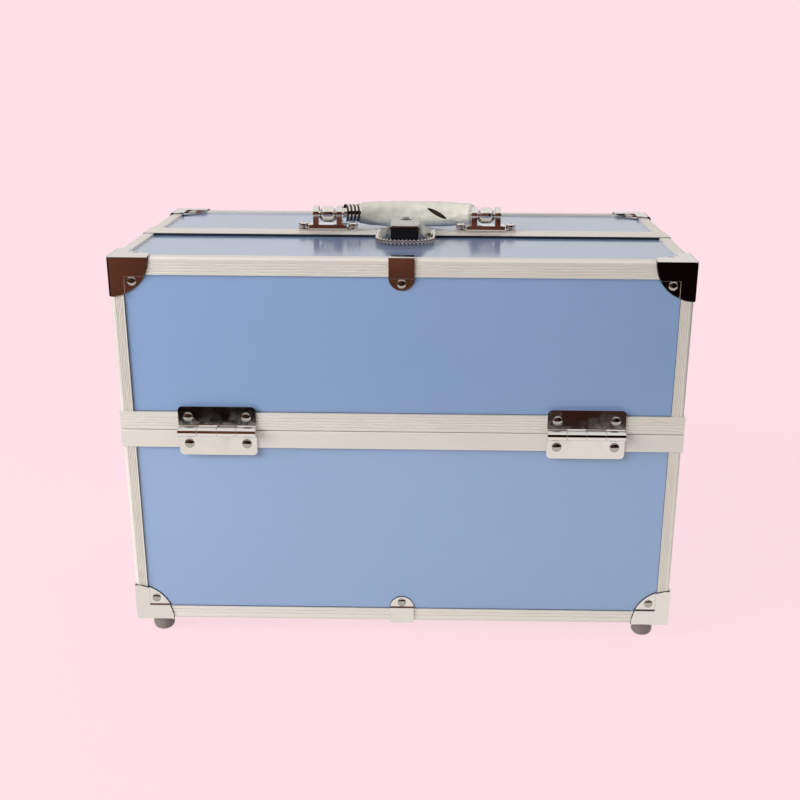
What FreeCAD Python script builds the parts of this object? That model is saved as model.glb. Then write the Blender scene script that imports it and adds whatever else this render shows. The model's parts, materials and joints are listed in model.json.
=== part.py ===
import FreeCAD, Part
import math
import os

os.makedirs("parts", exist_ok=True)
V = FreeCAD.Vector

# A hard train case for make-up, in millimetres.
# X runs across the case, -Y is its front and +Z is up. The origin is on the table under its middle.

# The box
case_width = 360.0
case_depth = 200.0
case_top = 258.3
case_bottom = 11.0
parting_height = 147.0
parting_gap = 0.4
panel_recess = 1.4
panel_thickness = 4.0
liner_thickness = 1.0
liner_inset = 13.0

# The aluminium extrusions
rim_proud = 0.8
base_rim_height = 11.4
lid_rim_height = 11.7
rim_web = 1.5
rim_leg = 1.4
top_band_height = 11.0
bottom_band_height = 9.0
edge_leg_width = 8.0
edge_rounding = 2.0
rounding_steps = 4
flute_width = 0.8
flute_depth = 0.45

# The chrome fittings
fitting_thickness = 1.0
fitting_rounding = 2.0
cap_reach = 24.5
cap_rivet_inset = 13.5
cap_rivet_drop = 15.0
clip_width = 16.0
top_clip_drop = 19.6
bottom_clip_drop = 17.7
clip_tab_depth = 13.0
top_clip_rivet_drop = 15.3
bottom_clip_rivet_drop = 13.7
small_rivet_radius = 2.9
small_rivet_height = 1.2

# The four hinges
hinge_spacing = 236.0
leaf_width = 50.0
leaf_height = 16.3
leaf_thickness = 1.2
leaf_rounding = 3.0
barrel_radius = 3.3
barrel_set_off = 3.4
barrel_relief = 0.3
knuckle_count = 4
knuckle_gap = 0.3
hinge_pin_radius = 1.5
hinge_pin_length = 49.0
hinge_rivet_spacing = 37.0
hinge_rivet_radius = 3.2
hinge_rivet_height = 1.3
upper_rivet_rise = 9.3
lower_rivet_drop = 8.5

# The feet
foot_x = 164.5
foot_y = 91.5
foot_radius = 7.2
foot_tip_radius = 6.9
foot_rounding = 4.0
foot_screw_radius = 1.9
foot_screw_depth = 1.5

# The stepped trays and the arms that carry them
tray_half_length = 167.0
tray_front = 85.3
tray_back = 7.3
tray_height = 34.0
tray_wall = 1.6
tray_rounding = 12.0
lower_tray_bottom = 155.0
upper_tray_bottom = 190.9
lower_pivot = (32.3, 27.5)
upper_pivot = (61.5, 52.4)
arm_offset = (26.0, -3.5)
arm_width = 12.0
arm_inner_x = 169.6
arm_thickness = 2.0
stud_radius = 2.0
stud_fit = 0.05
post_radius = 1.5
open_pivot_clearance = 0.6
stud_collar_radius = 3.5
stud_head_radius = 4.0
stud_head_thickness = 1.2
divider_thickness = 1.4
divider_height = 22.0
divider_gap = 0.3

# The handle on the rear lid
bracket_x = 54.8
bracket_length = 42.0
bracket_depth = 14.0
bracket_flange = 1.6
bracket_bar_length = 26.5
bracket_bar_depth = 11.0
bracket_bar_draft = 0.4
bracket_bar_height = 4.4
bracket_y = 8.0
pivot_rise = 11.2
ear_thickness = 4.0
ear_gap = 12.2
ear_radius = 5.5
barrel_length = 11.6
handle_barrel_radius = 5.2
handle_barrel_rounding = 4.2
handle_pin_radius = 2.0
handle_pin_fit = 0.05
handle_slope = 6.1
grip_radius = 6.5
grip_half_chord = 34.5
grip_end_reach = 20.0
grip_mid_reach = 25.5
ferrule_length = 10.5
ferrule_radius = 6.2
ferrule_rings = 4
arm_rod_radius = 3.4
bracket_screw_spacing = 34.5
bracket_screw_radius = 3.4
bracket_screw_height = 3.8
bracket_screw_crown = 0.9

# The lock on the front lid and its keeper on the rear lid
lock_plate_width = 38.0
lock_front_y = -46.0
lock_back_y = -0.8
lock_plate_thickness = 2.5
lock_plate_rounding = 13.0
hood_width = 19.6
hood_foot_width = 34.0
hood_foot_inset = 0.8
hood_front_y = -44.0
hood_top = 269.2
hood_wall = 0.8
button_clearance = 0.3
button_proud = 1.5
button_length = 12.0
cylinder_radius = 4.0
cylinder_fit = 0.05
cylinder_y = -12.0
cylinder_proud = 0.8
key_slot = (1.2, 5.0, 1.6)
bolt_width = 9.4
bolt_height = 3.2
bolt_length = 18.0
bolt_clearance = 0.4
keeper_width = 17.0
keeper_depth = 9.0

half_width = case_width / 2
half_depth = case_depth / 2
panel_x = half_width - panel_recess
panel_y = half_depth - panel_recess
wall_x = panel_x - panel_thickness
wall_y = panel_y - panel_thickness
panel_top = case_top - panel_recess
panel_bottom = case_bottom + panel_recess
ceiling = panel_top - panel_thickness
floor_top = panel_bottom + panel_thickness
base_edge = parting_height - parting_gap / 2
lid_edge = parting_height + parting_gap / 2
lid_back_y = -parting_gap / 2
rim_face_y = half_depth + rim_proud
hinge_y = -(rim_face_y + barrel_set_off)
rim_inner_x = wall_x - rim_leg


# ---- shapes that several pieces use

def block(x_range, y_range, z_range):
    corner = V(x_range[0], y_range[0], z_range[0])
    size = [r[1] - r[0] for r in (x_range, y_range, z_range)]
    return Part.makeBox(size[0], size[1], size[2], corner)


def mirrored_x(shape):
    return shape.mirror(V(0, 0, 0), V(1, 0, 0))


def mirrored_y(shape):
    return shape.mirror(V(0, 0, 0), V(0, 1, 0))


def left_and_right(shape):
    return [shape, mirrored_x(shape)]


def rod_x(radius, x_start, x_end, y, z):
    return Part.makeCylinder(radius, x_end - x_start, V(x_start, y, z), V(1, 0, 0))


def save(name, shapes):
    solids = []
    for shape in shapes:
        solids.extend(shape.Solids)
    whole = solids[0] if len(solids) == 1 else Part.makeCompound(solids)
    bad = [s for s in solids if not s.isValid() or s.Volume <= 0]
    print(name, len(solids), "solids", "INVALID" if bad else "")
    whole.exportStep("parts/" + name + ".step")


def flat_face(points):
    return Part.Face(Part.makePolygon(points + [points[0]]))


def length_between(start, end, profile):
    """A straight length of extrusion. Each station is (point, outward, inward along the wall)."""
    rings = []
    for point, outward, along in (start, end):
        rings.append([point + outward * d + along * h for d, h in profile])
    first, last = rings
    faces = [flat_face(first), flat_face(last)]
    for i in range(len(profile)):
        j = (i + 1) % len(profile)
        faces.append(flat_face([first[i], first[j], last[j], last[i]]))
    shell = Part.makeShell(faces)
    shell.sewShape()
    solid = Part.Solid(shell.Shells[0] if shell.Shells else shell)
    if solid.Volume < 0:
        solid.reverse()
    return solid


def mitred_lengths(stations, profile, closed=False):
    """One solid for each side of a frame, with their ends mitred."""
    ends = stations[1:] + ([stations[0]] if closed else [])
    return [length_between(a, b, profile) for a, b in zip(stations, ends)]


def fluted_line(start, end, inward, count):
    """Points along a face with evenly spaced V grooves cut into it."""
    start, end, inward = V(*start, 0), V(*end, 0), V(*inward, 0)
    direction = end - start
    length = direction.Length
    direction.normalize()
    points = [start]
    for i in range(count):
        middle = start + direction * (length * (i + 1) / (count + 1))
        points.append(middle - direction * (flute_width / 2))
        points.append(middle + inward * flute_depth)
        points.append(middle + direction * (flute_width / 2))
    points.append(end)
    return [(p.x, p.y) for p in points]


def rounded_corner(centre, radius, start_angle, end_angle):
    points = []
    for i in range(rounding_steps + 1):
        angle = math.radians(start_angle + (end_angle - start_angle) * i / rounding_steps)
        points.append((centre[0] + radius * math.cos(angle), centre[1] + radius * math.sin(angle)))
    return points


def rim_profile(height, flutes):
    """A channel that caps a wall's edge: d is outwards, h runs from the edge into the wall."""
    bevel = 0.5
    inside = -(panel_recess + panel_thickness)
    outer = fluted_line((rim_proud, height), (rim_proud, bevel), (-1, 0), flutes)
    rest = [
        (rim_proud - bevel, 0),
        (inside - rim_leg, 0),
        (inside - rim_leg, height),
        (inside, height),
        (inside, rim_web),
        (-panel_recess, rim_web),
        (-panel_recess, height),
    ]
    return outer + rest


def strip_profile(height, flutes):
    """The same channel, flush with the other extrusions, for the parting across the lids."""
    return [(d - rim_proud, h) if d > 0 else (d, h) for d, h in rim_profile(height, flutes)]


def edge_profile(band_height, flutes):
    """An angle that wraps an outer edge: h is 0 on its outer face and runs back into the case."""
    r = edge_rounding
    face = fluted_line((0, band_height), (0, r), (-1, 0), flutes)
    curve = rounded_corner((-r, r), r, 0, -90)[1:]
    rest = [
        (-edge_leg_width, 0),
        (-edge_leg_width, panel_recess),
        (-panel_recess, panel_recess),
        (-panel_recess, band_height),
    ]
    return face + curve + rest


def corner_post(z_range):
    """The upright angle at the right front corner."""
    r = edge_rounding
    x, y, w, t = half_width, -half_depth, edge_leg_width, panel_recess
    front = fluted_line((x - w, y), (x - r, y), (0, 1), 5)
    curve = rounded_corner((x - r, y + r), r, -90, 0)[1:-1]
    side = fluted_line((x, y + r), (x, y + w), (-1, 0), 5)
    inner = [(x - t, y + w), (x - t, y + t), (x - w, y + t)]
    outline = flat_face([V(px, py, z_range[0]) for px, py in front + curve + side + inner])
    return outline.extrude(V(0, 0, z_range[1] - z_range[0]))


def domed_head(radius, height, point, direction):
    """A rivet or screw head: a low dome on a flat base."""
    sphere_radius = (radius ** 2 + height ** 2) / (2 * height)
    half_angle = math.asin(radius / sphere_radius) / 2
    middle = V(sphere_radius * math.sin(half_angle), 0, height - sphere_radius * (1 - math.cos(half_angle)))
    arc = Part.Arc(V(radius, 0, 0), middle, V(0, 0, height)).toShape()
    base = Part.makeLine(V(0, 0, 0), V(radius, 0, 0))
    axis = Part.makeLine(V(0, 0, height), V(0, 0, 0))
    head = Part.Face(Part.Wire([base, arc, axis])).revolve(V(0, 0, 0), V(0, 0, 1), 360)
    head.Placement = FreeCAD.Placement(point, FreeCAD.Rotation(V(0, 0, 1), direction))
    return head


# ---- the pressed corner caps and edge clips

def stepped_corner(offset, band_height, reach):
    """The case's right front top corner with its outer point at the origin, grown by an offset."""
    o, t, w = offset, panel_recess, edge_leg_width
    across = (-reach, o)
    back = (-o, reach)
    down = (-reach, o)
    body = block((-reach, o - t), (t - o, reach), (-reach, o - t))
    front_bar = block(across, (-o, w + o), (-band_height - o, o))
    side_bar = block((-w - o, o), back, (-band_height - o, o))
    post = block((-w - o, o), (-o, w + o), down)
    return body.fuse([front_bar, side_bar, post]).removeSplitter()


def rounded_at(shape, point, radius):
    edges = [e for e in shape.Edges if any((v.Point - point).Length < 0.001 for v in e.Vertexes)]
    return shape.makeFillet(radius, edges)


def corner_cap(band_height):
    """A pressed cap, square at the corner and round on its inner side, stepped over the angles."""
    t = fitting_thickness
    reach = cap_reach + 6
    outer = rounded_at(stepped_corner(t, band_height, reach), V(t, -t, t), fitting_rounding)
    inner = stepped_corner(0, band_height, reach + 1)
    discs = []
    for axis in (V(1, 0, 0), V(0, 1, 0), V(0, 0, 1)):
        discs.append(Part.makeCylinder(cap_reach, 8, axis * -4, axis))
    return outer.cut(inner).common(discs[0].fuse(discs[1:]))


def cap_rivets():
    """The three rivets of a cap, one on each face, with the corner's point at the origin."""
    i, drop = cap_rivet_inset, cap_rivet_drop
    face = panel_recess - fitting_thickness
    front = domed_head(small_rivet_radius, small_rivet_height, V(-i, face, -drop), V(0, -1, 0))
    side = domed_head(small_rivet_radius, small_rivet_height, V(-face, i, -drop), V(1, 0, 0))
    top = domed_head(small_rivet_radius, small_rivet_height, V(-i, i, -face), V(0, 0, 1))
    return [front, side, top]


def edge_clip(band_height, drop):
    """The clip over the middle of a long edge, with a round tab on each face."""
    t, r = fitting_thickness, clip_width / 2
    reach = 40
    shells = []
    for o in (t, 0):
        body = block((-r, r), (panel_recess - o, reach), (-reach, o - panel_recess))
        bar = block((-r, r), (-o, edge_leg_width + o), (-band_height - o, o))
        shells.append(body.fuse(bar))
    strip = shells[0].cut(shells[1])
    front = block((-r, r), (-2, panel_recess), (r - drop, 2))
    front_tab = Part.makeCylinder(r, panel_recess + 2, V(0, -2, r - drop), V(0, 1, 0))
    top = block((-r, r), (-2, clip_tab_depth - r), (-panel_recess, 2))
    top_tab = Part.makeCylinder(r, panel_recess + 2, V(0, clip_tab_depth - r, -panel_recess))
    return strip.common(front.fuse([front_tab, top, top_tab]))


def set_at_top(shape, x=half_width):
    moved = shape.copy()
    moved.translate(V(x, -half_depth, case_top))
    return moved


def set_at_bottom(shape, x=half_width):
    moved = shape.mirror(V(0, 0, 0), V(0, 0, 1))
    moved.translate(V(x, -half_depth, case_bottom))
    return moved


def clip_rivet(drop):
    face = panel_recess - fitting_thickness
    return domed_head(small_rivet_radius, small_rivet_height, V(0, face, -drop), V(0, -1, 0))


# ---- the hinges

def hinge_leaf(x, upward):
    """One leaf of a front hinge with its two knuckles. Upper and lower knuckles alternate."""
    way = 1 if upward else -1
    plate_y = (-rim_face_y - leaf_thickness, -rim_face_y)
    near = parting_height + way * (barrel_radius + barrel_relief)
    far = parting_height + way * leaf_height
    plate = block((x - leaf_width / 2, x + leaf_width / 2), plate_y, sorted((near, far)))
    far_edges = []
    for edge in plate.Edges:
        middle = edge.CenterOfMass
        if abs(middle.z - far) < 0.01 and abs(middle.y - sum(plate_y) / 2) < 0.01:
            far_edges.append(edge)
    plate = plate.makeFillet(leaf_rounding, far_edges)
    knuckle = leaf_width / knuckle_count
    pieces = []
    for i in range(knuckle_count):
        if (i % 2 == 1) == upward:
            start = x - leaf_width / 2 + i * knuckle + knuckle_gap / 2
            end = start + knuckle - knuckle_gap
            pieces.append(rod_x(barrel_radius, start, end, hinge_y, parting_height))
            tongue_z = sorted((parting_height, near + way))
            pieces.append(block((start, end), plate_y, tongue_z))
    hole = rod_x(hinge_pin_radius + stud_fit, x - leaf_width, x + leaf_width, hinge_y, parting_height)
    return plate.fuse(pieces).cut(hole).removeSplitter()


def hinge_rivets(x, z):
    heads = []
    for side in (-1, 1):
        point = V(x + side * hinge_rivet_spacing / 2, -rim_face_y - leaf_thickness, z)
        heads.append(domed_head(hinge_rivet_radius, hinge_rivet_height, point, V(0, -1, 0)))
    return heads


hinge_places = (-hinge_spacing / 2, hinge_spacing / 2)


# ---- the base box

base_wall_z = (floor_top, base_edge - rim_web)
base_post_z = (case_bottom + bottom_band_height, base_edge - base_rim_height)
bottom_panel = block((-panel_x, panel_x), (-panel_y, panel_y), (panel_bottom, floor_top))
front_base_panel = block((-wall_x, wall_x), (-panel_y, -wall_y), base_wall_z)
right_base_panel = block((wall_x, panel_x), (-panel_y, panel_y), base_wall_z)

liner_x = wall_x - liner_thickness
liner_y = wall_y - liner_thickness
liner_top = base_edge - liner_inset
base_liner = block((-wall_x, wall_x), (-wall_y, wall_y), (floor_top, liner_top))
base_hollow = block((-liner_x, liner_x), (-liner_y, liner_y), (floor_top + liner_thickness, case_top))
base_liner = base_liner.cut(base_hollow)


def ring_stations(z, along):
    corners = []
    for sx, sy in ((1, -1), (1, 1), (-1, 1), (-1, -1)):
        corners.append((V(sx * half_width, sy * half_depth, z), V(sx, sy, 0), along))
    return corners


rim_lengths = mitred_lengths(ring_stations(base_edge, V(0, 0, -1)), rim_profile(base_rim_height, 0), True)
bottom_stations = ring_stations(case_bottom, V(0, 0, 1))
bottom_lengths = mitred_lengths(bottom_stations, edge_profile(bottom_band_height, 2), True)

base_posts = []
for post in left_and_right(corner_post(base_post_z)):
    base_posts.extend([post, mirrored_y(post)])

base_fittings = []
base_rivets = []
for shape in left_and_right(set_at_bottom(corner_cap(bottom_band_height))):
    base_fittings.extend([shape, mirrored_y(shape)])
bottom_clip = set_at_bottom(edge_clip(bottom_band_height, bottom_clip_drop), 0)
base_fittings.extend([bottom_clip, mirrored_y(bottom_clip)])

front_base_rivets = [set_at_bottom(clip_rivet(bottom_clip_rivet_drop), 0)]
for rivet in cap_rivets()[:2]:
    front_base_rivets.extend(left_and_right(set_at_bottom(rivet)))
for x in hinge_places:
    front_base_rivets.extend(hinge_rivets(x, parting_height - lower_rivet_drop))
for rivet in front_base_rivets:
    base_rivets.extend([rivet, mirrored_y(rivet)])

front_lower_leaves = [hinge_leaf(x, False) for x in hinge_places]
base_leaves = front_lower_leaves + [mirrored_y(leaf) for leaf in front_lower_leaves]
front_hinge_pins = []
for x in hinge_places:
    half_pin = hinge_pin_length / 2
    front_hinge_pins.append(rod_x(hinge_pin_radius, x - half_pin, x + half_pin, hinge_y, parting_height))
hinge_pins = front_hinge_pins + [mirrored_y(pin) for pin in front_hinge_pins]


inside_border_x = (-half_width + edge_leg_width, half_width - edge_leg_width)
inside_border_y = (-half_depth + edge_leg_width, half_depth - edge_leg_width)
foot_top_z = (case_bottom - fitting_thickness, panel_bottom)
bottom_border = block((-half_width, half_width), (-half_depth, half_depth), foot_top_z)
bottom_border = bottom_border.cut(block(inside_border_x, inside_border_y, foot_top_z))


def rubber_foot(x, y):
    """A round foot with a domed tip and a recess for its screw, cut to sit against its cap."""
    cone = Part.makeCone(foot_tip_radius, foot_radius, panel_bottom - fitting_thickness)
    tip_edges = [e for e in cone.Edges if abs(e.CenterOfMass.z) < 0.01 and len(e.Vertexes) == 1]
    foot = cone.makeFillet(foot_rounding, tip_edges)
    foot = foot.cut(Part.makeCylinder(foot_screw_radius, foot_screw_depth))
    foot.translate(V(x, y, 0))
    return foot.cut(base_fittings + [bottom_border])


def foot_screw(x, y):
    height = foot_screw_depth - 0.5
    return domed_head(foot_screw_radius - 0.1, height, V(x, y, foot_screw_depth), V(0, 0, -1))


feet = []
foot_screws = []
for sx in (-1, 1):
    for sy in (-1, 1):
        feet.append(rubber_foot(sx * foot_x, sy * foot_y))
        foot_screws.append(foot_screw(sx * foot_x, sy * foot_y))

save("base_bottom_panel", [bottom_panel])
save("base_front_panel", [front_base_panel])
save("base_rear_panel", [mirrored_y(front_base_panel)])
save("base_side_panels", left_and_right(right_base_panel))
save("base_liner", [base_liner])
save("base_rim_frame", rim_lengths)
save("base_bottom_edges", bottom_lengths)
save("base_corner_posts", base_posts)
save("base_corner_fittings", base_fittings)
save("base_rivets", base_rivets)
save("base_hinge_leaves", base_leaves)
save("hinge_pins", hinge_pins)
save("rubber_feet", feet)
save("foot_screws", foot_screws)


# ---- the two lids: the rear one mirrors the front one

lid_wall_z = (lid_edge + rim_web, ceiling)
lid_panel_back = lid_back_y - rim_web
lid_post_z = (lid_edge + lid_rim_height, case_top - top_band_height)
strip_height = lid_rim_height
strip_front_y = lid_back_y - strip_height

top_panel = block((-panel_x, panel_x), (-panel_y, lid_panel_back), (ceiling, panel_top))
front_lid_panel = block((-wall_x, wall_x), (-panel_y, -wall_y), lid_wall_z)
right_lid_panel = block((wall_x, panel_x), (-panel_y, lid_panel_back), lid_wall_z)

lid_liner_y = (-wall_y, lid_back_y - liner_inset)
lid_liner = block((-wall_x, wall_x), lid_liner_y, (lid_edge + liner_inset, ceiling))
lid_hollow = block((-liner_x, liner_x), (-liner_y, 0), (parting_height, ceiling - liner_thickness))
lid_liner = lid_liner.cut(lid_hollow)


def open_stations(z, back_y, along):
    """Three sides of a lid: from the parting on the left, round the front and back to it."""
    stations = [(V(-half_width, back_y, z), V(-1, 0, 0), along)]
    stations.append((V(-half_width, -half_depth, z), V(-1, -1, 0), along))
    stations.append((V(half_width, -half_depth, z), V(1, -1, 0), along))
    stations.append((V(half_width, back_y, z), V(1, 0, 0), along))
    return stations


def arch_stations():
    """Up one side of the lid at the parting, across its top and down the other side."""
    along = V(0, -1, 0)
    foot_z = lid_edge + lid_rim_height
    stations = [(V(-half_width, lid_back_y, foot_z), V(-1, 0, 0), along)]
    stations.append((V(-half_width, lid_back_y, case_top), V(-1, 0, 1), along))
    stations.append((V(half_width, lid_back_y, case_top), V(1, 0, 1), along))
    stations.append((V(half_width, lid_back_y, foot_z), V(1, 0, 0), along))
    return stations


lid_rim = mitred_lengths(open_stations(lid_edge, lid_back_y, V(0, 0, 1)), rim_profile(lid_rim_height, 5))
lid_strip = mitred_lengths(arch_stations(), strip_profile(strip_height, 0))
top_stations = open_stations(case_top, strip_front_y, V(0, 0, -1))
lid_edges = mitred_lengths(top_stations, edge_profile(top_band_height, 4))
lid_posts = left_and_right(corner_post(lid_post_z))
lid_fittings = left_and_right(set_at_top(corner_cap(top_band_height)))
lid_fittings.append(set_at_top(edge_clip(top_band_height, top_clip_drop), 0))
lid_leaves = [hinge_leaf(x, True) for x in hinge_places]

lid_rivets = [set_at_top(clip_rivet(top_clip_rivet_drop), 0)]
for rivet in cap_rivets():
    lid_rivets.extend(left_and_right(set_at_top(rivet)))
for x in hinge_places:
    lid_rivets.extend(hinge_rivets(x, parting_height + upper_rivet_rise))


# ---- the tray linkage, as points of (y, z) beside the front lid

hinge_point = (hinge_y, parting_height)


def from_hinge(*offsets):
    y = hinge_point[0] + sum(o[0] for o in offsets)
    z = hinge_point[1] + sum(o[1] for o in offsets)
    return (y, z)


lower_tray_pivot = from_hinge(lower_pivot)
upper_tray_pivot = from_hinge(upper_pivot)
arm_base_pivot = from_hinge(arm_offset)
arm_lower_pivot = from_hinge(lower_pivot, arm_offset)
arm_upper_pivot = from_hinge(upper_pivot, arm_offset)


def lid_stud(pivot):
    """A shouldered stud on the lid's wall that carries one end of a tray."""
    head_x = tray_half_length - tray_wall - stud_head_thickness - 0.3
    shank = rod_x(stud_radius, head_x, rim_inner_x, *pivot)
    collar = rod_x(stud_collar_radius, tray_half_length + 0.4, rim_inner_x, *pivot)
    wall_plug = rod_x(stud_collar_radius, rim_inner_x, liner_x, *pivot)
    head = rod_x(stud_collar_radius, head_x, head_x + stud_head_thickness, *pivot)
    return shank.fuse([collar, wall_plug, head]).removeSplitter()


def arm_stud(pivot):
    """The stud on the base's rim that the arm turns on."""
    head_x = arm_inner_x - stud_head_thickness - 0.3
    shank = rod_x(stud_radius, head_x, rim_inner_x, *pivot)
    collar = rod_x(stud_collar_radius, arm_inner_x + arm_thickness + 0.3, rim_inner_x, *pivot)
    head = rod_x(stud_head_radius, head_x, head_x + stud_head_thickness, *pivot)
    return shank.fuse([collar, head]).removeSplitter()


def tray_arm():
    """A flat bar with round ends that runs from the base past both trays."""
    (y0, z0), (y1, z1) = arm_base_pivot, arm_upper_pivot
    length = math.hypot(y1 - y0, z1 - z0)
    r = arm_width / 2
    x_end = arm_inner_x + arm_thickness
    bar = block((arm_inner_x, x_end), (0, length), (-r, r))
    for y in (0, length):
        bar = bar.fuse(rod_x(r, arm_inner_x, x_end, y, 0))
    bar.rotate(V(0, 0, 0), V(1, 0, 0), math.degrees(math.atan2(z1 - z0, y1 - y0)))
    bar.translate(V(0, y0, z0))
    holes = [rod_x(stud_radius + stud_fit, arm_inner_x - 1, x_end + 1, *arm_base_pivot)]
    for pivot in (arm_lower_pivot, arm_upper_pivot):
        holes.append(rod_x(post_radius + open_pivot_clearance, arm_inner_x - 1, x_end + 1, *pivot))
    return bar.removeSplitter().cut(holes)


def tray_outline(bottom, inset, top):
    """The tray's section in the (y, z) plane: straight sides, round lower edges and an open top."""
    r = tray_rounding - inset
    y0, y1 = -tray_front + inset, -tray_back - inset
    z0 = bottom + inset
    k = r * (1 - math.sqrt(0.5))
    corners = [V(0, y0, top), V(0, y0, z0 + r), V(0, y0 + r, z0), V(0, y1 - r, z0), V(0, y1, z0 + r)]
    edges = [Part.makeLine(corners[0], corners[1])]
    edges.append(Part.Arc(corners[1], V(0, y0 + k, z0 + k), corners[2]).toShape())
    edges.append(Part.makeLine(corners[2], corners[3]))
    edges.append(Part.Arc(corners[3], V(0, y1 - k, z0 + k), corners[4]).toShape())
    edges.append(Part.makeLine(corners[4], V(0, y1, top)))
    edges.append(Part.makeLine(V(0, y1, top), corners[0]))
    return Part.Face(Part.Wire(edges))


def tray(bottom, lid_pivot, post_pivot):
    outer = tray_outline(bottom, 0, bottom + tray_height)
    outer.translate(V(-tray_half_length, 0, 0))
    body = outer.extrude(V(2 * tray_half_length, 0, 0))
    inner = tray_outline(bottom, tray_wall, bottom + tray_height + 1)
    inner_half = tray_half_length - tray_wall
    inner.translate(V(-inner_half, 0, 0))
    body = body.cut(inner.extrude(V(2 * inner_half, 0, 0)))
    post = rod_x(post_radius, tray_half_length - 0.2, arm_inner_x + arm_thickness + 0.4, *post_pivot)
    hole = rod_x(stud_radius + stud_fit, tray_half_length - tray_wall - 1, tray_half_length + 1, *lid_pivot)
    body = body.fuse(left_and_right(post))
    return body.cut(left_and_right(hole))


def cross_divider(bottom, x, gap):
    """A wall across a tray that stands on its floor."""
    section = tray_outline(bottom, tray_wall + gap, bottom + tray_wall + divider_height)
    section.translate(V(x - divider_thickness / 2, 0, 0))
    return section.extrude(V(divider_thickness, 0, 0))


lower_divider_places = (-56.0, 56.0)
upper_divider_places = (-100.0, 0.0, 100.0)
lower_tray = tray(lower_tray_bottom, lower_tray_pivot, arm_lower_pivot)
lower_tray = lower_tray.fuse([cross_divider(lower_tray_bottom, x, -0.1) for x in lower_divider_places])
upper_tray = tray(upper_tray_bottom, upper_tray_pivot, arm_upper_pivot)
upper_dividers = [cross_divider(upper_tray_bottom, x, divider_gap) for x in upper_divider_places]
lid_studs = []
for pivot in (lower_tray_pivot, upper_tray_pivot):
    lid_studs.extend(left_and_right(lid_stud(pivot)))
front_arm_studs = left_and_right(arm_stud(arm_base_pivot))
save("tray_arm_studs", front_arm_studs + [mirrored_y(s) for s in front_arm_studs])

lid_parts = {
    "top_panel": [top_panel],
    "face_panel": [front_lid_panel],
    "side_panels": left_and_right(right_lid_panel),
    "liner": [lid_liner],
    "rim_frame": lid_rim,
    "parting_strip": lid_strip,
    "top_edges": lid_edges,
    "corner_posts": lid_posts,
    "corner_fittings": lid_fittings,
    "hinge_leaves": lid_leaves,
    "rivets": lid_rivets,
    "tray_studs": lid_studs,
}
for part_name, shapes in lid_parts.items():
    save("front_lid_" + part_name, shapes)
    save("rear_lid_" + part_name, [mirrored_y(s) for s in shapes])

tray_parts = {
    "lower_tray": [lower_tray],
    "upper_tray": [upper_tray],
    "upper_tray_dividers": upper_dividers,
    "tray_arms": left_and_right(tray_arm()),
}
for part_name, shapes in tray_parts.items():
    save("front_" + part_name, shapes)
    save("rear_" + part_name, [mirrored_y(s) for s in shapes])


# ---- the handle

pivot_z = case_top + pivot_rise
strip_back_y = -strip_front_y


def pill(length, depth, x, y, z_range):
    """A flat bar with round ends, lying along X."""
    r = depth / 2
    height = z_range[1] - z_range[0]
    bar = block((x - length / 2 + r, x + length / 2 - r), (y - r, y + r), z_range)
    for side in (-1, 1):
        bar = bar.fuse(Part.makeCylinder(r, height, V(x + side * (length / 2 - r), y, z_range[0])))
    return bar.removeSplitter()


def handle_bracket(x):
    """A pill-shaped flange with a raised bar and two ears. It steps down from the strip onto the panel."""
    flange_top = case_top + bracket_flange
    bar_top = case_top + bracket_bar_height
    foot = pill(bracket_length, bracket_depth, x, bracket_y, (panel_top, flange_top))
    foot = foot.cut(block((x - 50, x + 50), (-10, strip_back_y), (panel_top - 1, case_top)))
    top_half = bracket_bar_depth / 2
    foot_half = top_half + bracket_bar_draft
    section = [V(0, -foot_half, flange_top), V(0, foot_half, flange_top)]
    section += [V(0, top_half, bar_top), V(0, -top_half, bar_top)]
    bar = flat_face(section).extrude(V(bracket_bar_length, 0, 0))
    bar.translate(V(x - bracket_bar_length / 2, bracket_y, 0))
    raised = [bar]
    for side in (-1, 1):
        inner = x + side * ear_gap / 2
        ear_x = sorted((inner, inner + side * ear_thickness))
        ear_y = (bracket_y - ear_radius, bracket_y + ear_radius)
        raised.append(block(ear_x, ear_y, (bar_top - 1, pivot_z)))
        raised.append(rod_x(ear_radius, ear_x[0], ear_x[1], bracket_y, pivot_z))
    hole = rod_x(handle_pin_radius + handle_pin_fit, x - 20, x + 20, bracket_y, pivot_z)
    return foot.fuse(raised).cut(hole).removeSplitter()


def bracket_screw(x):
    """A tall screw head with a low crown, standing on the flange."""
    shoulder = bracket_screw_height - bracket_screw_crown
    shank = Part.makeCylinder(bracket_screw_radius, shoulder)
    crown = domed_head(bracket_screw_radius, bracket_screw_crown, V(0, 0, shoulder), V(0, 0, 1))
    head = shank.fuse(crown).removeSplitter()
    head.translate(V(x, bracket_y, case_top + bracket_flange))
    return head


def placed_handle(shape):
    """Turns a handle piece from its flat layout about the pivot, and moves it onto the pivot."""
    moved = shape.copy()
    moved.rotate(V(0, 0, 0), V(1, 0, 0), -handle_slope)
    moved.translate(V(0, bracket_y, pivot_z))
    return moved


grip_rise = grip_mid_reach - grip_end_reach
grip_arc_radius = (grip_half_chord ** 2 + grip_rise ** 2) / (2 * grip_rise)
grip_half_angle = math.degrees(math.asin(grip_half_chord / grip_arc_radius))
grip_centre = V(0, grip_mid_reach - grip_arc_radius, 0)


def arc_rod(radius, centre, arc_radius, start_angle, sweep):
    """A round bar bent about a vertical line, from a start angle measured from +X."""
    ring = Part.Circle(V(arc_radius, 0, 0), V(0, 1, 0), radius).toShape()
    bar = Part.Face(Part.Wire([ring])).revolve(V(0, 0, 0), V(0, 0, 1), sweep)
    bar.rotate(V(0, 0, 0), V(0, 0, 1), start_angle)
    bar.translate(centre)
    return bar


grip = arc_rod(grip_radius, grip_centre, grip_arc_radius, 90 - grip_half_angle, 2 * grip_half_angle)


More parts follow.
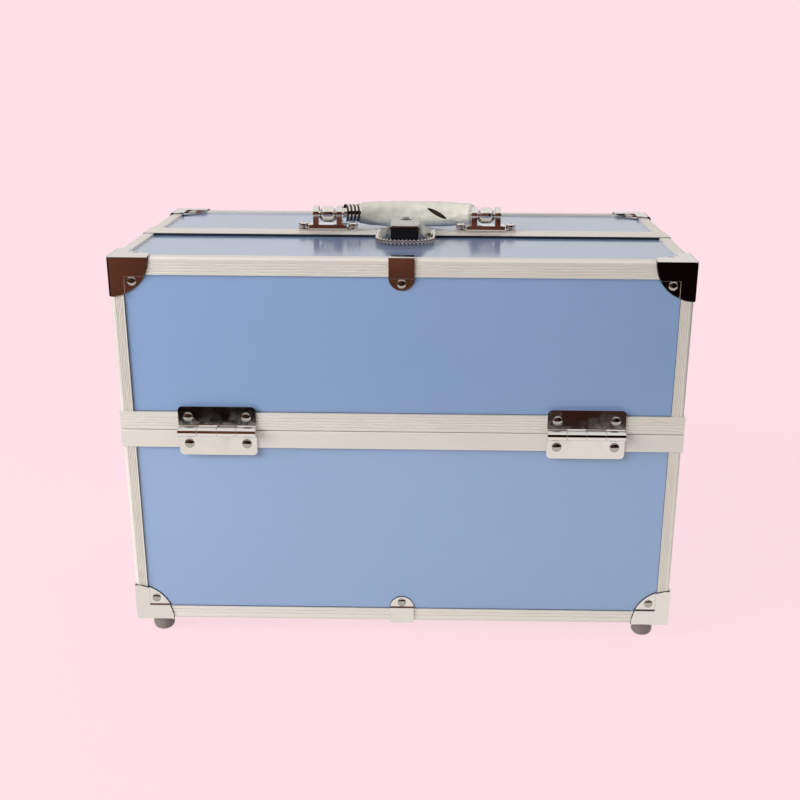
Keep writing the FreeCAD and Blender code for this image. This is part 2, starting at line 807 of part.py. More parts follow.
def handle_arm():
    """The right arm: a round-ended barrel on the pivot, a bent rod and a ringed ferrule."""
    slope = math.radians(grip_half_angle)
    outward = V(math.cos(slope), -math.sin(slope), 0)
    grip_end = V(grip_half_chord, grip_end_reach, 0)
    ferrule = Part.makeCylinder(ferrule_radius, ferrule_length, grip_end, outward)
    for i in range(ferrule_rings):
        place = grip_end + outward * (ferrule_length * (i + 0.7) / ferrule_rings)
        groove = Part.makeTorus(ferrule_radius + 0.3, 0.8, place, outward)
        ferrule = ferrule.cut(groove)
    start = grip_end + outward * (ferrule_length - 0.5)
    end = V(bracket_x, 0, 0)
    normal = V(-math.sin(slope), -math.cos(slope), 0)
    chord = end - start
    bend = chord.Length ** 2 / (2 * normal.dot(chord))
    centre = start + normal * bend
    to_start = math.degrees(math.atan2(start.y - centre.y, start.x - centre.x))
    to_end = math.degrees(math.atan2(end.y - centre.y, end.x - centre.x))
    rod = arc_rod(arm_rod_radius, centre, bend, to_end, to_start - to_end)
    half = barrel_length / 2
    barrel = rod_x(handle_barrel_radius, bracket_x - half, bracket_x + half, 0, 0)
    ends = [e for e in barrel.Edges if abs(abs(e.CenterOfMass.x - bracket_x) - half) < 0.01]
    barrel = barrel.makeFillet(handle_barrel_rounding, ends)
    hole = rod_x(handle_pin_radius + handle_pin_fit, bracket_x - 2 * half, bracket_x + 2 * half, 0, 0)
    return barrel.fuse([rod, ferrule]).cut(hole)


handle_pin_half = ear_gap / 2 + ear_thickness + 0.6
handle_pin_ends = (bracket_x - handle_pin_half, bracket_x + handle_pin_half)
handle_pin = rod_x(handle_pin_radius, *handle_pin_ends, bracket_y, pivot_z)
bracket_screws = []
for x in (-bracket_x, bracket_x):
    for side in (-1, 1):
        bracket_screws.append(bracket_screw(x + side * bracket_screw_spacing / 2))

save("handle_brackets", [handle_bracket(-bracket_x), handle_bracket(bracket_x)])
save("handle_bracket_screws", bracket_screws)
save("handle_pins", left_and_right(handle_pin))
save("handle_side_arms", [placed_handle(s) for s in left_and_right(handle_arm())])
save("handle_grip", [placed_handle(grip)])


# ---- the lock

plate_top = case_top + lock_plate_thickness


def flange_slab(inset, z_range):
    """A slab with the flange's outline and its two round front corners, drawn in by an inset."""
    half = lock_plate_width / 2 - inset
    front = lock_front_y + inset
    slab = block((-half, half), (front, lock_back_y), z_range)
    corners = []
    for edge in slab.Edges:
        middle = edge.CenterOfMass
        if abs(middle.y - front) < 0.01 and abs(abs(middle.x) - half) < 0.01:
            corners.append(edge)
    return slab.makeFillet(lock_plate_rounding - inset, corners)


def lock_plate():
    """The flange steps down from the strip onto the panel."""
    half = lock_plate_width / 2
    plate = flange_slab(0, (panel_top, plate_top))
    return plate.cut(block((-half - 1, half + 1), (strip_front_y, 1), (panel_top - 1, case_top)))


def lock_hood():
    """A bridge with hollow flanks inside the flange's outline, open at the front for the button."""
    top_half, foot_half = hood_width / 2, hood_foot_width / 2
    rise = hood_top - plate_top
    reach = foot_half - top_half
    flank = V(foot_half - 0.61 * reach, 0, plate_top + 0.28 * rise)
    corners = [V(foot_half, 0, plate_top), V(top_half, 0, hood_top - 0.8), V(top_half - 0.8, 0, hood_top)]
    left = [V(-p.x, 0, p.z) for p in reversed(corners)]
    edges = [Part.Arc(corners[0], flank, corners[1]).toShape()]
    edges.append(Part.makeLine(corners[1], corners[2]))
    edges.append(Part.makeLine(corners[2], left[0]))
    edges.append(Part.makeLine(left[0], left[1]))
    edges.append(Part.Arc(left[1], V(-flank.x, 0, flank.z), left[2]).toShape())
    edges.append(Part.makeLine(left[2], corners[0]))
    outline = Part.Face(Part.Wire(edges))
    outline.translate(V(0, hood_front_y, 0))
    hood = outline.extrude(V(0, lock_back_y - hood_front_y, 0))
    hood = hood.common(flange_slab(hood_foot_inset, (plate_top, hood_top)))
    inside = top_half - hood_wall
    cavity_y = (hood_front_y - 1, lock_back_y - hood_wall)
    cavity = block((-inside, inside), cavity_y, (plate_top, hood_top - hood_wall))
    slot_half = bolt_width / 2 + bolt_clearance
    slot_top = plate_top + bolt_height + 2 * bolt_clearance
    slot = block((-slot_half, slot_half), (lock_back_y - 5, 1), (plate_top, slot_top))
    eye = Part.makeCylinder(cylinder_radius + cylinder_fit, 10, V(0, cylinder_y, hood_top - 5))
    return hood.cut([cavity, slot, eye])


button_half = hood_width / 2 - hood_wall - button_clearance
button_y = (hood_front_y - button_proud, hood_front_y - button_proud + button_length)
button_z = (plate_top + button_clearance, hood_top - hood_wall - button_clearance)
button = block((-button_half, button_half), button_y, button_z)

bolt_z = (plate_top + bolt_clearance, plate_top + bolt_clearance + bolt_height)
bolt_back = lock_back_y - 0.4
bolt = block((-bolt_width / 2, bolt_width / 2), (bolt_back - bolt_length, bolt_back), bolt_z)

cylinder_z = (bolt_z[1] + 0.3, hood_top + cylinder_proud)
cylinder_length = cylinder_z[1] - cylinder_z[0]
key_cylinder = Part.makeCylinder(cylinder_radius, cylinder_length, V(0, cylinder_y, cylinder_z[0]))
slot_width, slot_length, slot_depth = key_slot
slot_y = (cylinder_y - slot_length / 2, cylinder_y + slot_length / 2)
slot_z = (cylinder_z[1] - slot_depth, cylinder_z[1] + 1)
key_cylinder = key_cylinder.cut(block((-slot_width / 2, slot_width / 2), slot_y, slot_z))

keeper_front = -lock_back_y
keeper_y = (keeper_front, keeper_front + keeper_depth)
keeper = block((-keeper_width / 2, keeper_width / 2), keeper_y, (case_top, hood_top - 1))
mouth_half = bolt_width / 2 + 2 * bolt_clearance
keeper = keeper.cut(block((-mouth_half, mouth_half), (0, keeper_y[1] + 1), (case_top + 1, bolt_z[1] + 0.8)))

save("lock_plate", [lock_plate()])
save("lock_hood", [lock_hood()])
save("lock_button", [button])
save("key_cylinder", [key_cylinder])
save("lock_bolt", [bolt])
save("lock_keeper", [keeper])
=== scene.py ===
import json
import math
from functools import cache

import bmesh
import bpy
from bpy.props import FloatProperty, FloatVectorProperty, IntProperty, PointerProperty
from mathutils import Matrix, Vector, noise


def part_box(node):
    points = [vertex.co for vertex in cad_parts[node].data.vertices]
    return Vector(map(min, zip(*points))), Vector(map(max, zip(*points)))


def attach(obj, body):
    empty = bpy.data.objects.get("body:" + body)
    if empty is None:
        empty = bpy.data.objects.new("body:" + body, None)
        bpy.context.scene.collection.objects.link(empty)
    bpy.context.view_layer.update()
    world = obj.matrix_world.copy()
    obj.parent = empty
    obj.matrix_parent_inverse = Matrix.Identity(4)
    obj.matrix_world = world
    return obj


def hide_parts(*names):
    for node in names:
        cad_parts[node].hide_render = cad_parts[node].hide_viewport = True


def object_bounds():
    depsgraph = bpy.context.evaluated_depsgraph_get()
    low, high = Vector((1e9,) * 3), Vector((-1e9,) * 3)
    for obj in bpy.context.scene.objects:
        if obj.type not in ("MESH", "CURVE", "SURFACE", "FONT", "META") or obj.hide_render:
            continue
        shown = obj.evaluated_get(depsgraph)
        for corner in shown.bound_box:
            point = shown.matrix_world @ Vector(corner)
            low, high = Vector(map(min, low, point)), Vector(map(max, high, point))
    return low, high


bl_info = {
    "name": "Make-up train case",
    "version": (1, 0, 0),
    "blender": (4, 5, 0),
    "location": "3D View > Sidebar > Train case",
    "description": "Dresses the packed train case: laminate, extrusions, fittings, handle, lock, trays",
    "category": "Object",
}

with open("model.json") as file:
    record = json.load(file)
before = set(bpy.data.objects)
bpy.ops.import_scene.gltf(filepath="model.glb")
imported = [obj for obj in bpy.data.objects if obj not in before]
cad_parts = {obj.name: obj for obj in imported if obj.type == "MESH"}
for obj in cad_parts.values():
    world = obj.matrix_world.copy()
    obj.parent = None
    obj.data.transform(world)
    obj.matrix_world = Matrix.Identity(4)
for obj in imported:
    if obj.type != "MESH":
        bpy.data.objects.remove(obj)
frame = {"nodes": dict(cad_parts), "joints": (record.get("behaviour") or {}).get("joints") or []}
cad_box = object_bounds()
MM = 0.001
X, Y, Z = Vector((1, 0, 0)), Vector((0, 1, 0)), Vector((0, 0, 1))
LIDS = ("front_lid", "rear_lid")


# ---- user settings

def length_setting(name, description, default):
    return FloatProperty(name=name, description=description, default=default, unit="LENGTH")


def colour_setting(name, description, default):
    return FloatVectorProperty(
        name=name, description=description, default=default, size=3, subtype="COLOR", min=0, max=1)


class CaseSizes(bpy.types.PropertyGroup):
    pressed_edge: length_setting("Pressed edge", "Rounding of the chrome sheet's edges", 0.3 * MM)
    moulded_edge: length_setting("Moulded edge", "Rounding of the plastic trays' edges", 0.4 * MM)
    # The dark lines round fittings and panels are painted shade.
    shade_line: length_setting(
        "Gap line", "Half the width of the dark line round fittings and panels", 0.3 * MM)
    # The black strip along the front parting strip is painted shade for the dark gap there.
    parting_shade_width: length_setting(
        "Seal width", "Width of the black seal along the front parting strip", 1.2 * MM)
    film_rise: length_setting("Film rise", "How far the wrapping stands up off the grip", 2.3 * MM)
    film_sag: length_setting("Film sag", "How far the wrapping hangs below the grip", 3.2 * MM)
    film_crumple: length_setting("Film crumple", "Height of the folds in the wrapping", 0.45 * MM)
    mat_thickness: length_setting("Mat thickness", "Thickness of the flocked mats in the trays", 1.0 * MM)
    flange_ribs: IntProperty(
        name="Flange ribs", description="Number of ribs round the lock plate's edge",
        default=46, min=12)


class CaseColours(bpy.types.PropertyGroup):
    laminate: colour_setting("Laminate", "Colour of the case's outer boards", (0.222, 0.333, 0.550))
    aluminium: colour_setting("Aluminium", "Colour of the extrusions", (0.790, 0.745, 0.690))
    chrome: colour_setting("Chrome", "Colour of the plated fittings", (0.90, 0.88, 0.86))
    rubber: colour_setting("Rubber", "Colour of the feet", (0.205, 0.165, 0.160))
    lining: colour_setting("Lining", "Colour of the flocked lining", (0.020, 0.020, 0.023))
    tray: colour_setting("Tray", "Colour of the moulded trays", (0.028, 0.028, 0.031))
    film: colour_setting("Film", "Colour of the wrapping over the grip", (0.66, 0.64, 0.56))
    floor: colour_setting("Floor", "Colour of the floor and the backdrop", (1.0, 0.745, 0.807))


def sizes():
    return bpy.context.scene.case_sizes


def colours():
    return bpy.context.scene.case_colours


# ---- shader groups

SMUDGE_LEVELS = (0.42, 0.68)
SCRATCH_STRETCH = (30.0, 900.0, 600.0)
SCRATCH_LEVEL = 0.70


def new_group(name, inputs, outputs):
    """A shader group whose inputs have defaults and whose outputs are all single values."""
    group = bpy.data.node_groups.new(name, "ShaderNodeTree")
    for socket_name, default in inputs.items():
        kind = "NodeSocketFloat" if isinstance(default, float) else "NodeSocketVector"
        socket = group.interface.new_socket(name=socket_name, in_out="INPUT", socket_type=kind)
        socket.default_value = default
    for socket_name in outputs:
        group.interface.new_socket(name=socket_name, in_out="OUTPUT", socket_type="NodeSocketFloat")
    given = group.nodes.new("NodeGroupInput").outputs
    return group, given, group.nodes.new("NodeGroupOutput").inputs


def fill_socket(tree, socket, value):
    """Links another node's output to an input, or writes a constant on it."""
    if isinstance(value, bpy.types.NodeSocket):
        tree.links.new(value, socket)
    else:
        socket.default_value = value


def fill_sockets(tree, node, **values):
    """Fills a node's inputs by name."""
    for name, value in values.items():
        fill_socket(tree, node.inputs[name.replace("_", " ")], value)


def math_node(tree, operation, *values, kind="ShaderNodeMath"):
    node = tree.nodes.new(kind)
    node.operation = operation
    for socket, value in zip(node.inputs, values):
        fill_socket(tree, socket, value)
    return node.outputs[0]


def scaled(tree, vector, factors):
    """A position stretched along each axis by a constant or by another vector."""
    return math_node(tree, "MULTIPLY", vector, factors, kind="ShaderNodeVectorMath")


def noise_node(tree, vector, scale, detail=4.0, roughness=0.55, distortion=0.0):
    node = tree.nodes.new("ShaderNodeTexNoise")
    fill_sockets(
        tree, node, Vector=vector, Scale=scale, Detail=detail, Roughness=roughness, Distortion=distortion)
    return node.outputs["Fac"]


def ramp(tree, value, start, end):
    """0 below the start, 1 past the end."""
    node = tree.nodes.new("ShaderNodeMapRange")
    fill_sockets(tree, node, Value=value, From_Min=start, From_Max=end)
    return node.outputs[0]


@cache
def grain_group():
    """Fine even grain: a height for a bump and a mask that varies slowly over the surface."""
    group, given, out = new_group(
        "Fine grain", {"Position": (0, 0, 0), "Grain Scale": 900.0, "Patch Scale": 14.0},
        ("Height", "Patches"))
    fine = noise_node(group, given["Position"], given["Grain Scale"], 3.0, 0.6)
    group.links.new(fine, out["Height"])
    patches = noise_node(group, given["Position"], given["Patch Scale"], 5.0, 0.6, 0.4)
    group.links.new(patches, out["Patches"])
    return group


@cache
def drawn_group():
    """Fine lines drawn along one direction: the stretch squeezes the pattern across it."""
    group, given, out = new_group(
        "Drawn lines", {"Position": (0, 0, 0), "Stretch": (1, 1, 1), "Line Scale": 900.0}, ("Lines",))
    place = scaled(group, given["Position"], given["Stretch"])
    group.links.new(noise_node(group, place, given["Line Scale"], 4.0, 0.65), out["Lines"])
    return group


@cache
def handling_group():
    """Roughness that rises in faint smudges and scattered fine scratches, as handling leaves it."""
    group, given, out = new_group(
        "Handling marks", {"Position": (0, 0, 0), "Clean": 0.1, "Smudged": 0.2, "Smudge Scale": 25.0},
        ("Roughness",))
    smudge = noise_node(group, given["Position"], given["Smudge Scale"], 6.0, 0.62, 0.8)
    scratch_place = scaled(group, given["Position"], SCRATCH_STRETCH)
    scratch = noise_node(group, scratch_place, 1.0, 2.0, 0.5, 1.5)
    thin = math_node(group, "GREATER_THAN", scratch, SCRATCH_LEVEL)
    marks = math_node(group, "MULTIPLY_ADD", thin, 0.5, ramp(group, smudge, *SMUDGE_LEVELS))
    mask = math_node(group, "MINIMUM", marks, 1.0)
    mix = group.nodes.new("ShaderNodeMix")
    fill_sockets(group, mix, Factor=mask, A=given["Clean"], B=given["Smudged"])
    group.links.new(mix.outputs["Result"], out["Roughness"])
    return group


# ---- materials

STEEL_COLOURS = ((0.48, 0.48, 0.49), (0.66, 0.66, 0.66))
SATIN_NICKEL = (0.49, 0.48, 0.45)
DARK_NICKEL = (0.37, 0.37, 0.35)
RIVET_NICKEL = (0.50, 0.49, 0.46)
# Near-black for the pieces of painted shade: the dark lines, the black strip by the parting strip and the
# keyhole disc.
PAINTED_SHADE_COLOUR = (0.010, 0.012, 0.018)
BUTTON_COLOUR = (0.006, 0.006, 0.007)
GRIP_COLOUR = (0.024, 0.018, 0.015)


def place_group(tree, group, **values):
    node = tree.nodes.new("ShaderNodeGroup")
    node.node_tree = group
    fill_sockets(tree, node, **values)
    return node.outputs[:]


def grain_on(tree, place, grain_scale, patch_scale):
    """The height of a fine grain and a mask of slow patches."""
    return place_group(
        tree, grain_group(), Position=place, Grain_Scale=grain_scale, Patch_Scale=patch_scale)


def lines_on(tree, place, stretch, scale):
    """The height of fine drawn lines."""
    return place_group(tree, drawn_group(), Position=place, Stretch=stretch, Line_Scale=scale)[0]


def marks_on(tree, place, clean, smudged, scale):
    """The roughness of a handled surface, from its clean value to its smudged one."""
    return place_group(
        tree, handling_group(), Position=place, Clean=clean, Smudged=smudged, Smudge_Scale=scale)[0]


def new_material(name):
    material = bpy.data.materials.new(name)
    material.use_nodes = True
    tree = material.node_tree
    shader = next(n for n in tree.nodes if n.type == "BSDF_PRINCIPLED")
    place = tree.nodes.new("ShaderNodeTexCoord").outputs["Object"]
    return material, tree, shader, place


def two_colours(tree, factor, low, high):
    mix = tree.nodes.new("ShaderNodeMix")
    mix.data_type = "RGBA"
    if isinstance(high, tuple):
        high = (*high, 1.0)
    fill_sockets(tree, mix, Factor=factor, A=(*low, 1.0), B=high)
    return mix.outputs["Result"]


def mottled(tree, share, colour, dark, light):
    """A colour that drifts between a darker and a lighter shade of itself."""
    low, high = (tuple(min(1.0, c * factor) for c in colour) for factor in (dark, light))
    return two_colours(tree, share, low, high)


def add_bump(tree, shader, height, strength, distance):
    bump = tree.nodes.new("ShaderNodeBump")
    fill_sockets(tree, bump, Height=height, Strength=strength, Distance=distance)
    tree.links.new(bump.outputs["Normal"], shader.inputs["Normal"])


def laminate_material():
    """Gloss laminate with a faint upright grain, very softly mottled and lightly worn."""
    material, tree, shader, place = new_material("blue_laminate")
    mottle = noise_node(tree, place, 6.0, 1.0, 0.4)
    grain, _ = grain_on(tree, place, 1400.0, 9.0)
    lines = lines_on(tree, place, (1.0, 1.0, 0.05), 650.0)
    blend = math_node(tree, "MULTIPLY_ADD", lines, 0.15, mottle)
    base = mottled(tree, blend, colours().laminate, 0.98, 1.02)
    roughness = math_node(tree, "MULTIPLY_ADD", mottle, 0.10, 0.285)
    fill_sockets(
        tree, shader, Base_Color=base, Roughness=roughness, Coat_Weight=1.0, Coat_Roughness=0.14,
        Coat_IOR=1.78)
    height = math_node(tree, "MULTIPLY_ADD", lines, 0.6, grain)
    add_bump(tree, shader, height, 0.02, 0.03 * MM)
    return material


def aluminium_material():
    """Satin anodised extrusion with fine drawn lines."""
    material, tree, shader, place = new_material("aluminium")
    grain, patches = grain_on(tree, place, 2200.0, 22.0)
    base = mottled(tree, patches, colours().aluminium, 0.95, 1.05)
    roughness = marks_on(tree, place, 0.36, 0.41, 40.0)
    fill_sockets(tree, shader, Base_Color=base, Metallic=0.35, Roughness=roughness)
    lines = lines_on(tree, place, (0.02, 1.0, 1.0), 2600.0)
    height = math_node(tree, "MULTIPLY_ADD", lines, 0.7, grain)
    add_bump(tree, shader, height, 0.04, 0.04 * MM)
    return material


def steel_material():
    """Zinc-plated steel with drawn lines along its length."""
    material, tree, shader, place = new_material("bright_steel")
    lines = lines_on(tree, place, (1.0, 0.06, 0.06), 1500.0)
    base = two_colours(tree, lines, *STEEL_COLOURS)
    roughness = marks_on(tree, place, 0.29, 0.38, 70.0)
    fill_sockets(tree, shader, Base_Color=base, Metallic=1.0, Roughness=roughness)
    add_bump(tree, shader, lines, 0.12, 0.04 * MM)
    return material


def grained_material(name, colour, shades, scales, marks, bump, **sockets):
    """A surface with a fine grain, a colour that drifts in patches and, if given, handling marks."""
    material, tree, shader, place = new_material(name)
    grain, patches = grain_on(tree, place, *scales)
    base = mottled(tree, patches, colour, *shades)
    if marks:
        sockets["Roughness"] = marks_on(tree, place, *marks)
    fill_sockets(tree, shader, Base_Color=base, **sockets)
    add_bump(tree, shader, grain, *bump)
    return material


def plated_material(name, colour, clean, smudged, waviness):
    """Plate on pressed steel: slightly wavy, with smudges and fine scratches."""
    return grained_material(
        name, colour, (0.94, 1.04), (95.0, 60.0), (clean, smudged, 90.0), (0.25, waviness), Metallic=1.0)


def moulded_material(name, colour, clean, smudged, depth, shine):
    """Moulded plastic or rubber with a fine texture and a mottled, dusty surface."""
    return grained_material(
        name, colour, (0.75, 1.25), (1600.0, 30.0), (clean, smudged, 45.0), (0.25, depth),
        Specular_IOR_Level=shine)


def lining_material():
    """Short flock: a dark pile with a soft sheen and brushed patches."""
    return grained_material(
        "lining_felt", colours().lining, (0.7, 1.5), (2400.0, 16.0), None, (0.8, 0.25 * MM),
        Roughness=0.92, Sheen_Weight=0.5, Sheen_Roughness=0.45)


def film_material():
    """Milky wrapping film: pale, creased and glossy; its colour drifts widely in patches, partly its own
    tint and partly painted highlight and shade.
    """
    return grained_material(
        # The wide spread of shades is partly painted highlight and shade.
        "grip_film", colours().film, (0.70, 1.28), (230.0, 80.0), (0.285, 0.42, 80.0), (0.45, 0.5 * MM),
        Coat_Weight=0.8, Coat_Roughness=0.10)


@cache
def finishes():
    """Every finish of the case, by name."""
    shades = colours()
    made = {
        "blue_laminate": laminate_material(), "aluminium": aluminium_material(),
        "bright_steel": steel_material(), "lining_felt": lining_material(), "grip_film": film_material()}
    for name, colour, clean, smudged, waviness in (
            ("chrome", tuple(shades.chrome), 0.04, 0.10, 0.08 * MM),
            ("satin_nickel", SATIN_NICKEL, 0.16, 0.24, 0.03 * MM),
            ("dark_nickel", DARK_NICKEL, 0.06, 0.14, 0.10 * MM),
            ("rivet_nickel", RIVET_NICKEL, 0.05, 0.12, 0.05 * MM)):
        made[name] = plated_material(name, colour, clean, smudged, waviness)
    for name, colour, clean, smudged, depth, shine in (
            ("dark_rubber", tuple(shades.rubber), 0.42, 0.66, 0.10 * MM, 0.5),
            # painted_shade: the near-black finish of the pieces that stand in for shade
            ("painted_shade", PAINTED_SHADE_COLOUR, 0.45, 0.60, 0.06 * MM, 0.5),
            ("black_plastic", BUTTON_COLOUR, 0.10, 0.22, 0.02 * MM, 0.15),
            ("tray_plastic", tuple(shades.tray), 0.36, 0.52, 0.06 * MM, 0.5),
            ("grip_plastic", GRIP_COLOUR, 0.34, 0.50, 0.06 * MM, 0.5)):
        made[name] = moulded_material(name, colour, clean, smudged, depth, shine)
    return made


# ---- mesh helpers

FLATNESS = math.radians(0.6)


def dress_node(node, material_name):
    """Gives a CAD node its finish."""
    data = frame["nodes"][node].data
    data.materials.clear()
    data.materials.append(finishes()[material_name])


def new_object(name, data):
    thing = bpy.data.objects.new(name, data)
    bpy.context.scene.collection.objects.link(thing)
    return thing


def mesh_object(name, bm, material):
    """Turns a bmesh into an object with one material."""
    mesh = bpy.data.meshes.new(name)
    bm.to_mesh(mesh)
    bm.free()
    mesh.materials.append(material)
    return new_object(name, mesh)


def finish_piece(name, bm, material_name, body, replaced=(), sharp_angle=32.0, even=False):
    """Turns a bmesh into a smooth-shaded object that rides on a body."""
    piece = mesh_object(name, bm, finishes()[material_name])
    mesh = piece.data
    mesh.polygons.foreach_set("use_smooth", [True] * len(mesh.polygons))
    mesh.set_sharp_from_angle(angle=math.radians(sharp_angle))
    if even:
        piece.modifiers.new("even_shading", "WEIGHTED_NORMAL").keep_sharp = True
    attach(piece, body)
    if replaced:
        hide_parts(*replaced)
    return piece


def joined_copy(node):
    """A bmesh of a CAD node with its loose triangles joined."""
    bm = bmesh.new()
    bm.from_mesh(frame["nodes"][node].data)
    bmesh.ops.remove_doubles(bm, verts=bm.verts, dist=1e-6)
    return bm


def round_edges(bm, edges, width, segments=2):
    bmesh.ops.bevel(
        bm, geom=edges, offset=width, offset_type="OFFSET", segments=segments, profile=0.5,
        affect="EDGES", clamp_overlap=True, material=-1)


def soften(bm, width, angle=35.0):
    """Rounds the sharp edges of a closed mesh."""
    limit = math.radians(angle)
    edges = [e for e in bm.edges if len(e.link_faces) == 2 and e.calc_face_angle(0) > limit]
    round_edges(bm, edges, width)


def face_out(bm):
    """Turns every face of closed shapes outwards."""
    bmesh.ops.recalc_face_normals(bm, faces=bm.faces)


def softened_piece(node, piece_name, body, material_name, width):
    """A CAD node's own shape with its flat faces whole and its sharp edges rounded, in its place."""
    bm = joined_copy(node)
    bmesh.ops.dissolve_limit(
        bm, angle_limit=FLATNESS, verts=bm.verts, edges=bm.edges, use_dissolve_boundaries=False)
    soften(bm, width)
    finish_piece(piece_name, bm, material_name, body, [node], even=True)


def islands(node):
    """The lowest and highest corners of each separate solid of a CAD node."""
    bm = joined_copy(node)
    boxes, seen = [], set()
    for start in bm.verts:
        if start in seen:
            continue
        stack, group = [start], []
        seen.add(start)
        while stack:
            vert = stack.pop()
            group.append(vert.co.copy())
            for edge in vert.link_edges:
                other = edge.other_vert(vert)
                if other not in seen:
                    seen.add(other)
                    stack.append(other)
        low = Vector(min(p[k] for p in group) for k in range(3))
        high = Vector(max(p[k] for p in group) for k in range(3))
        boxes.append((low, high))
    bm.free()
    return boxes


def spun(bm, profile, steps, place):
    """Turns an outline of (radius, height) points about its own axis and moves it into place."""
    before = set(bm.verts)
    ring = [bm.verts.new((r, 0.0, h)) for r, h in profile]
    edges = [bm.edges.new(pair) for pair in zip(ring, ring[1:])]
    bmesh.ops.spin(
        bm, geom=ring + edges, cent=(0, 0, 0), axis=Z, angle=math.tau, steps=steps, use_merge=True)
    bmesh.ops.remove_doubles(bm, verts=[v for v in bm.verts if v not in before], dist=1e-7)
    verts = [v for v in bm.verts if v not in before]
    faces = {f for v in verts for f in v.link_faces}
    bmesh.ops.recalc_face_normals(bm, faces=list(faces))
    bmesh.ops.transform(bm, matrix=place, verts=verts)


def facing(point, direction):
    """A matrix that sets a shape's own +Z along a direction at a point."""
    turn = Vector(direction).to_track_quat("Z", "Y").to_matrix().to_4x4()
    return Matrix.Translation(point) @ turn


def swept_circle(bm, radius, sides, place, centre, axis, sweep, steps, closed=True):
    """The tube that a circle leaves as it turns about an axis."""
    ring = bmesh.ops.create_circle(bm, cap_ends=closed, radius=radius, segments=sides, matrix=place)["verts"]
    edges = {e for v in ring for e in v.link_edges}
    faces = {f for v in ring for f in v.link_faces}
    bmesh.ops.spin(
        bm, geom=[*ring, *edges, *faces], cent=centre, axis=axis, angle=sweep, steps=steps, use_merge=False)


def bent_bead(bm, centre, first, axis, start, sweep, reach, half_width):
    """A thin round bead bent about a centre, from an angle measured from the first direction."""
    turn = Matrix((first, axis, first.cross(axis))).transposed().to_4x4()
    place = (Matrix.Translation(centre) @ Matrix.Rotation(start, 4, axis) @ turn
             @ Matrix.Translation((reach, 0, 0)))
    steps = max(2, round(sweep / BEAD_STEP))
    swept_circle(bm, half_width, BEAD_SIDES, place, centre, axis, sweep, steps)


def straight_bead(bm, start, end, half_width):
    """A thin round bead between two points."""
    along = end - start
    bmesh.ops.create_cone(
        bm, cap_ends=True, segments=BEAD_SIDES, radius1=half_width, radius2=half_width, depth=along.length,
        matrix=facing((start + end) / 2, along))


def rounded_bar(bm, low, high, rounding):
    """A bar between two corners with rounded edges."""
    low, high = Vector(low), Vector(high)
    size = Matrix.Diagonal((*(high - low), 1.0))
    bmesh.ops.create_cube(bm, size=1.0, matrix=Matrix.Translation((low + high) / 2) @ size)
    round_edges(bm, bm.edges[:], rounding)


# ---- the case's own measures

BEAD_SIDES = 6
BEAD_STEP = math.radians(7.5)
LEG_WIDTH = 8.0 * MM
CAP_REACH = 24.6 * MM
CLIP_HALF = 8.0 * MM
TOP_TAB_DROP = 11.6 * MM
BOTTOM_TAB_RISE = 9.7 * MM
ROOF_TAB_INSET = 5.0 * MM
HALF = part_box("base_bottom_edges")[1]
CASE_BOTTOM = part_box("base_bottom_edges")[0].z
CASE_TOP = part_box("front_lid_top_edges")[1].z
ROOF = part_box("front_lid_top_panel")[1].z
PANEL_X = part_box("base_side_panels")[1].x
PANEL_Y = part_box("base_rear_panel")[1].y
BOTTOM_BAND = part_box("base_bottom_edges")[1].z - CASE_BOTTOM
TOP_BAND = CASE_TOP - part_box("front_lid_top_edges")[0].z
BASE_RIM_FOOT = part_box("base_rim_frame")[0].z
LID_RIM_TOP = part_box("front_lid_rim_frame")[1].z
STRIP_EDGE = -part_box("front_lid_parting_strip")[0].y
STRIP_EDGE_CLEARANCE = 0.5 * MM
# The black strip by the front parting strip is painted shade.
PARTING_SHADE_INSET = 0.6 * MM
PARTING_SHADE_PROUD = 0.2 * MM
PARTING_SHADE_ROUNDING = 0.15 * MM
TRAY_WALL = 1.6 * MM
MAT_CLEARANCE = 1.0 * MM
MAT_CORNER = 10.0 * MM
FOOT_EDGE = 0.2 * MM


# ---- pieces

RIVET_STEPS = 28
# A smooth domed head with a thin rim, as shares of its radius and height
RIVET_SHAPE = (
    (1.0, 0.0), (1.0, 0.10), (0.97, 0.26), (0.90, 0.47), (0.78, 0.68), (0.60, 0.86), (0.40, 0.96),
    (0.20, 0.99), (0.0, 1.0))
# A straight-sided screw head with a rounded shoulder and a small recess in its crown
SCREW_SHAPE = (
    (1.0, 0.0), (1.0, 0.70), (0.97, 0.84), (0.88, 0.93), (0.70, 0.98), (0.42, 1.0), (0.34, 0.98),
    (0.28, 0.80), (0.22, 0.72), (0.0, 0.70))


def make_rivets(node, piece_name, body, shape=RIVET_SHAPE, material_name="rivet_nickel"):
    """Detailed heads in the places of a node's plain ones, each facing away from the case."""
    bm = bmesh.new()
    middle_z = (cad_box[0][2] + cad_box[1][2]) / 2
    for low, high in islands(node):
        size = high - low
        axis = min(range(3), key=lambda k: size[k])
        centre = (low + high) / 2
        reference = (0.0, 0.0, middle_z)[axis]
        sign = 1.0 if centre[axis] > reference else -1.0
        direction = Vector((0, 0, 0))
        direction[axis] = sign
        seat = centre.copy()
        seat[axis] = low[axis] if sign > 0 else high[axis]
        radius, height = max(size) / 2, size[axis]
        spun(bm, [(radius * r, height * h) for r, h in shape], RIVET_STEPS, facing(seat, direction))
    finish_piece(piece_name, bm, material_name, body, [node], 50.0)


def cap_shade_line(bm, corner, inward, across, outward, band, half_width):
    """A dark line of painted shade round one face of a corner cap, stepping down from the angles to the
    panel.
    """
    low_angle = math.asin(band / CAP_REACH)
    high_angle = math.acos(LEG_WIDTH / CAP_REACH)
    axis = inward.cross(across)
    sunk = corner - outward * (HALF.y - PANEL_Y)
    for centre, start, end in ((corner, 0.0, low_angle), (sunk, low_angle, high_angle),
                               (corner, high_angle, math.pi / 2)):
        bent_bead(bm, centre, inward, axis, start, end - start, CAP_REACH, half_width)


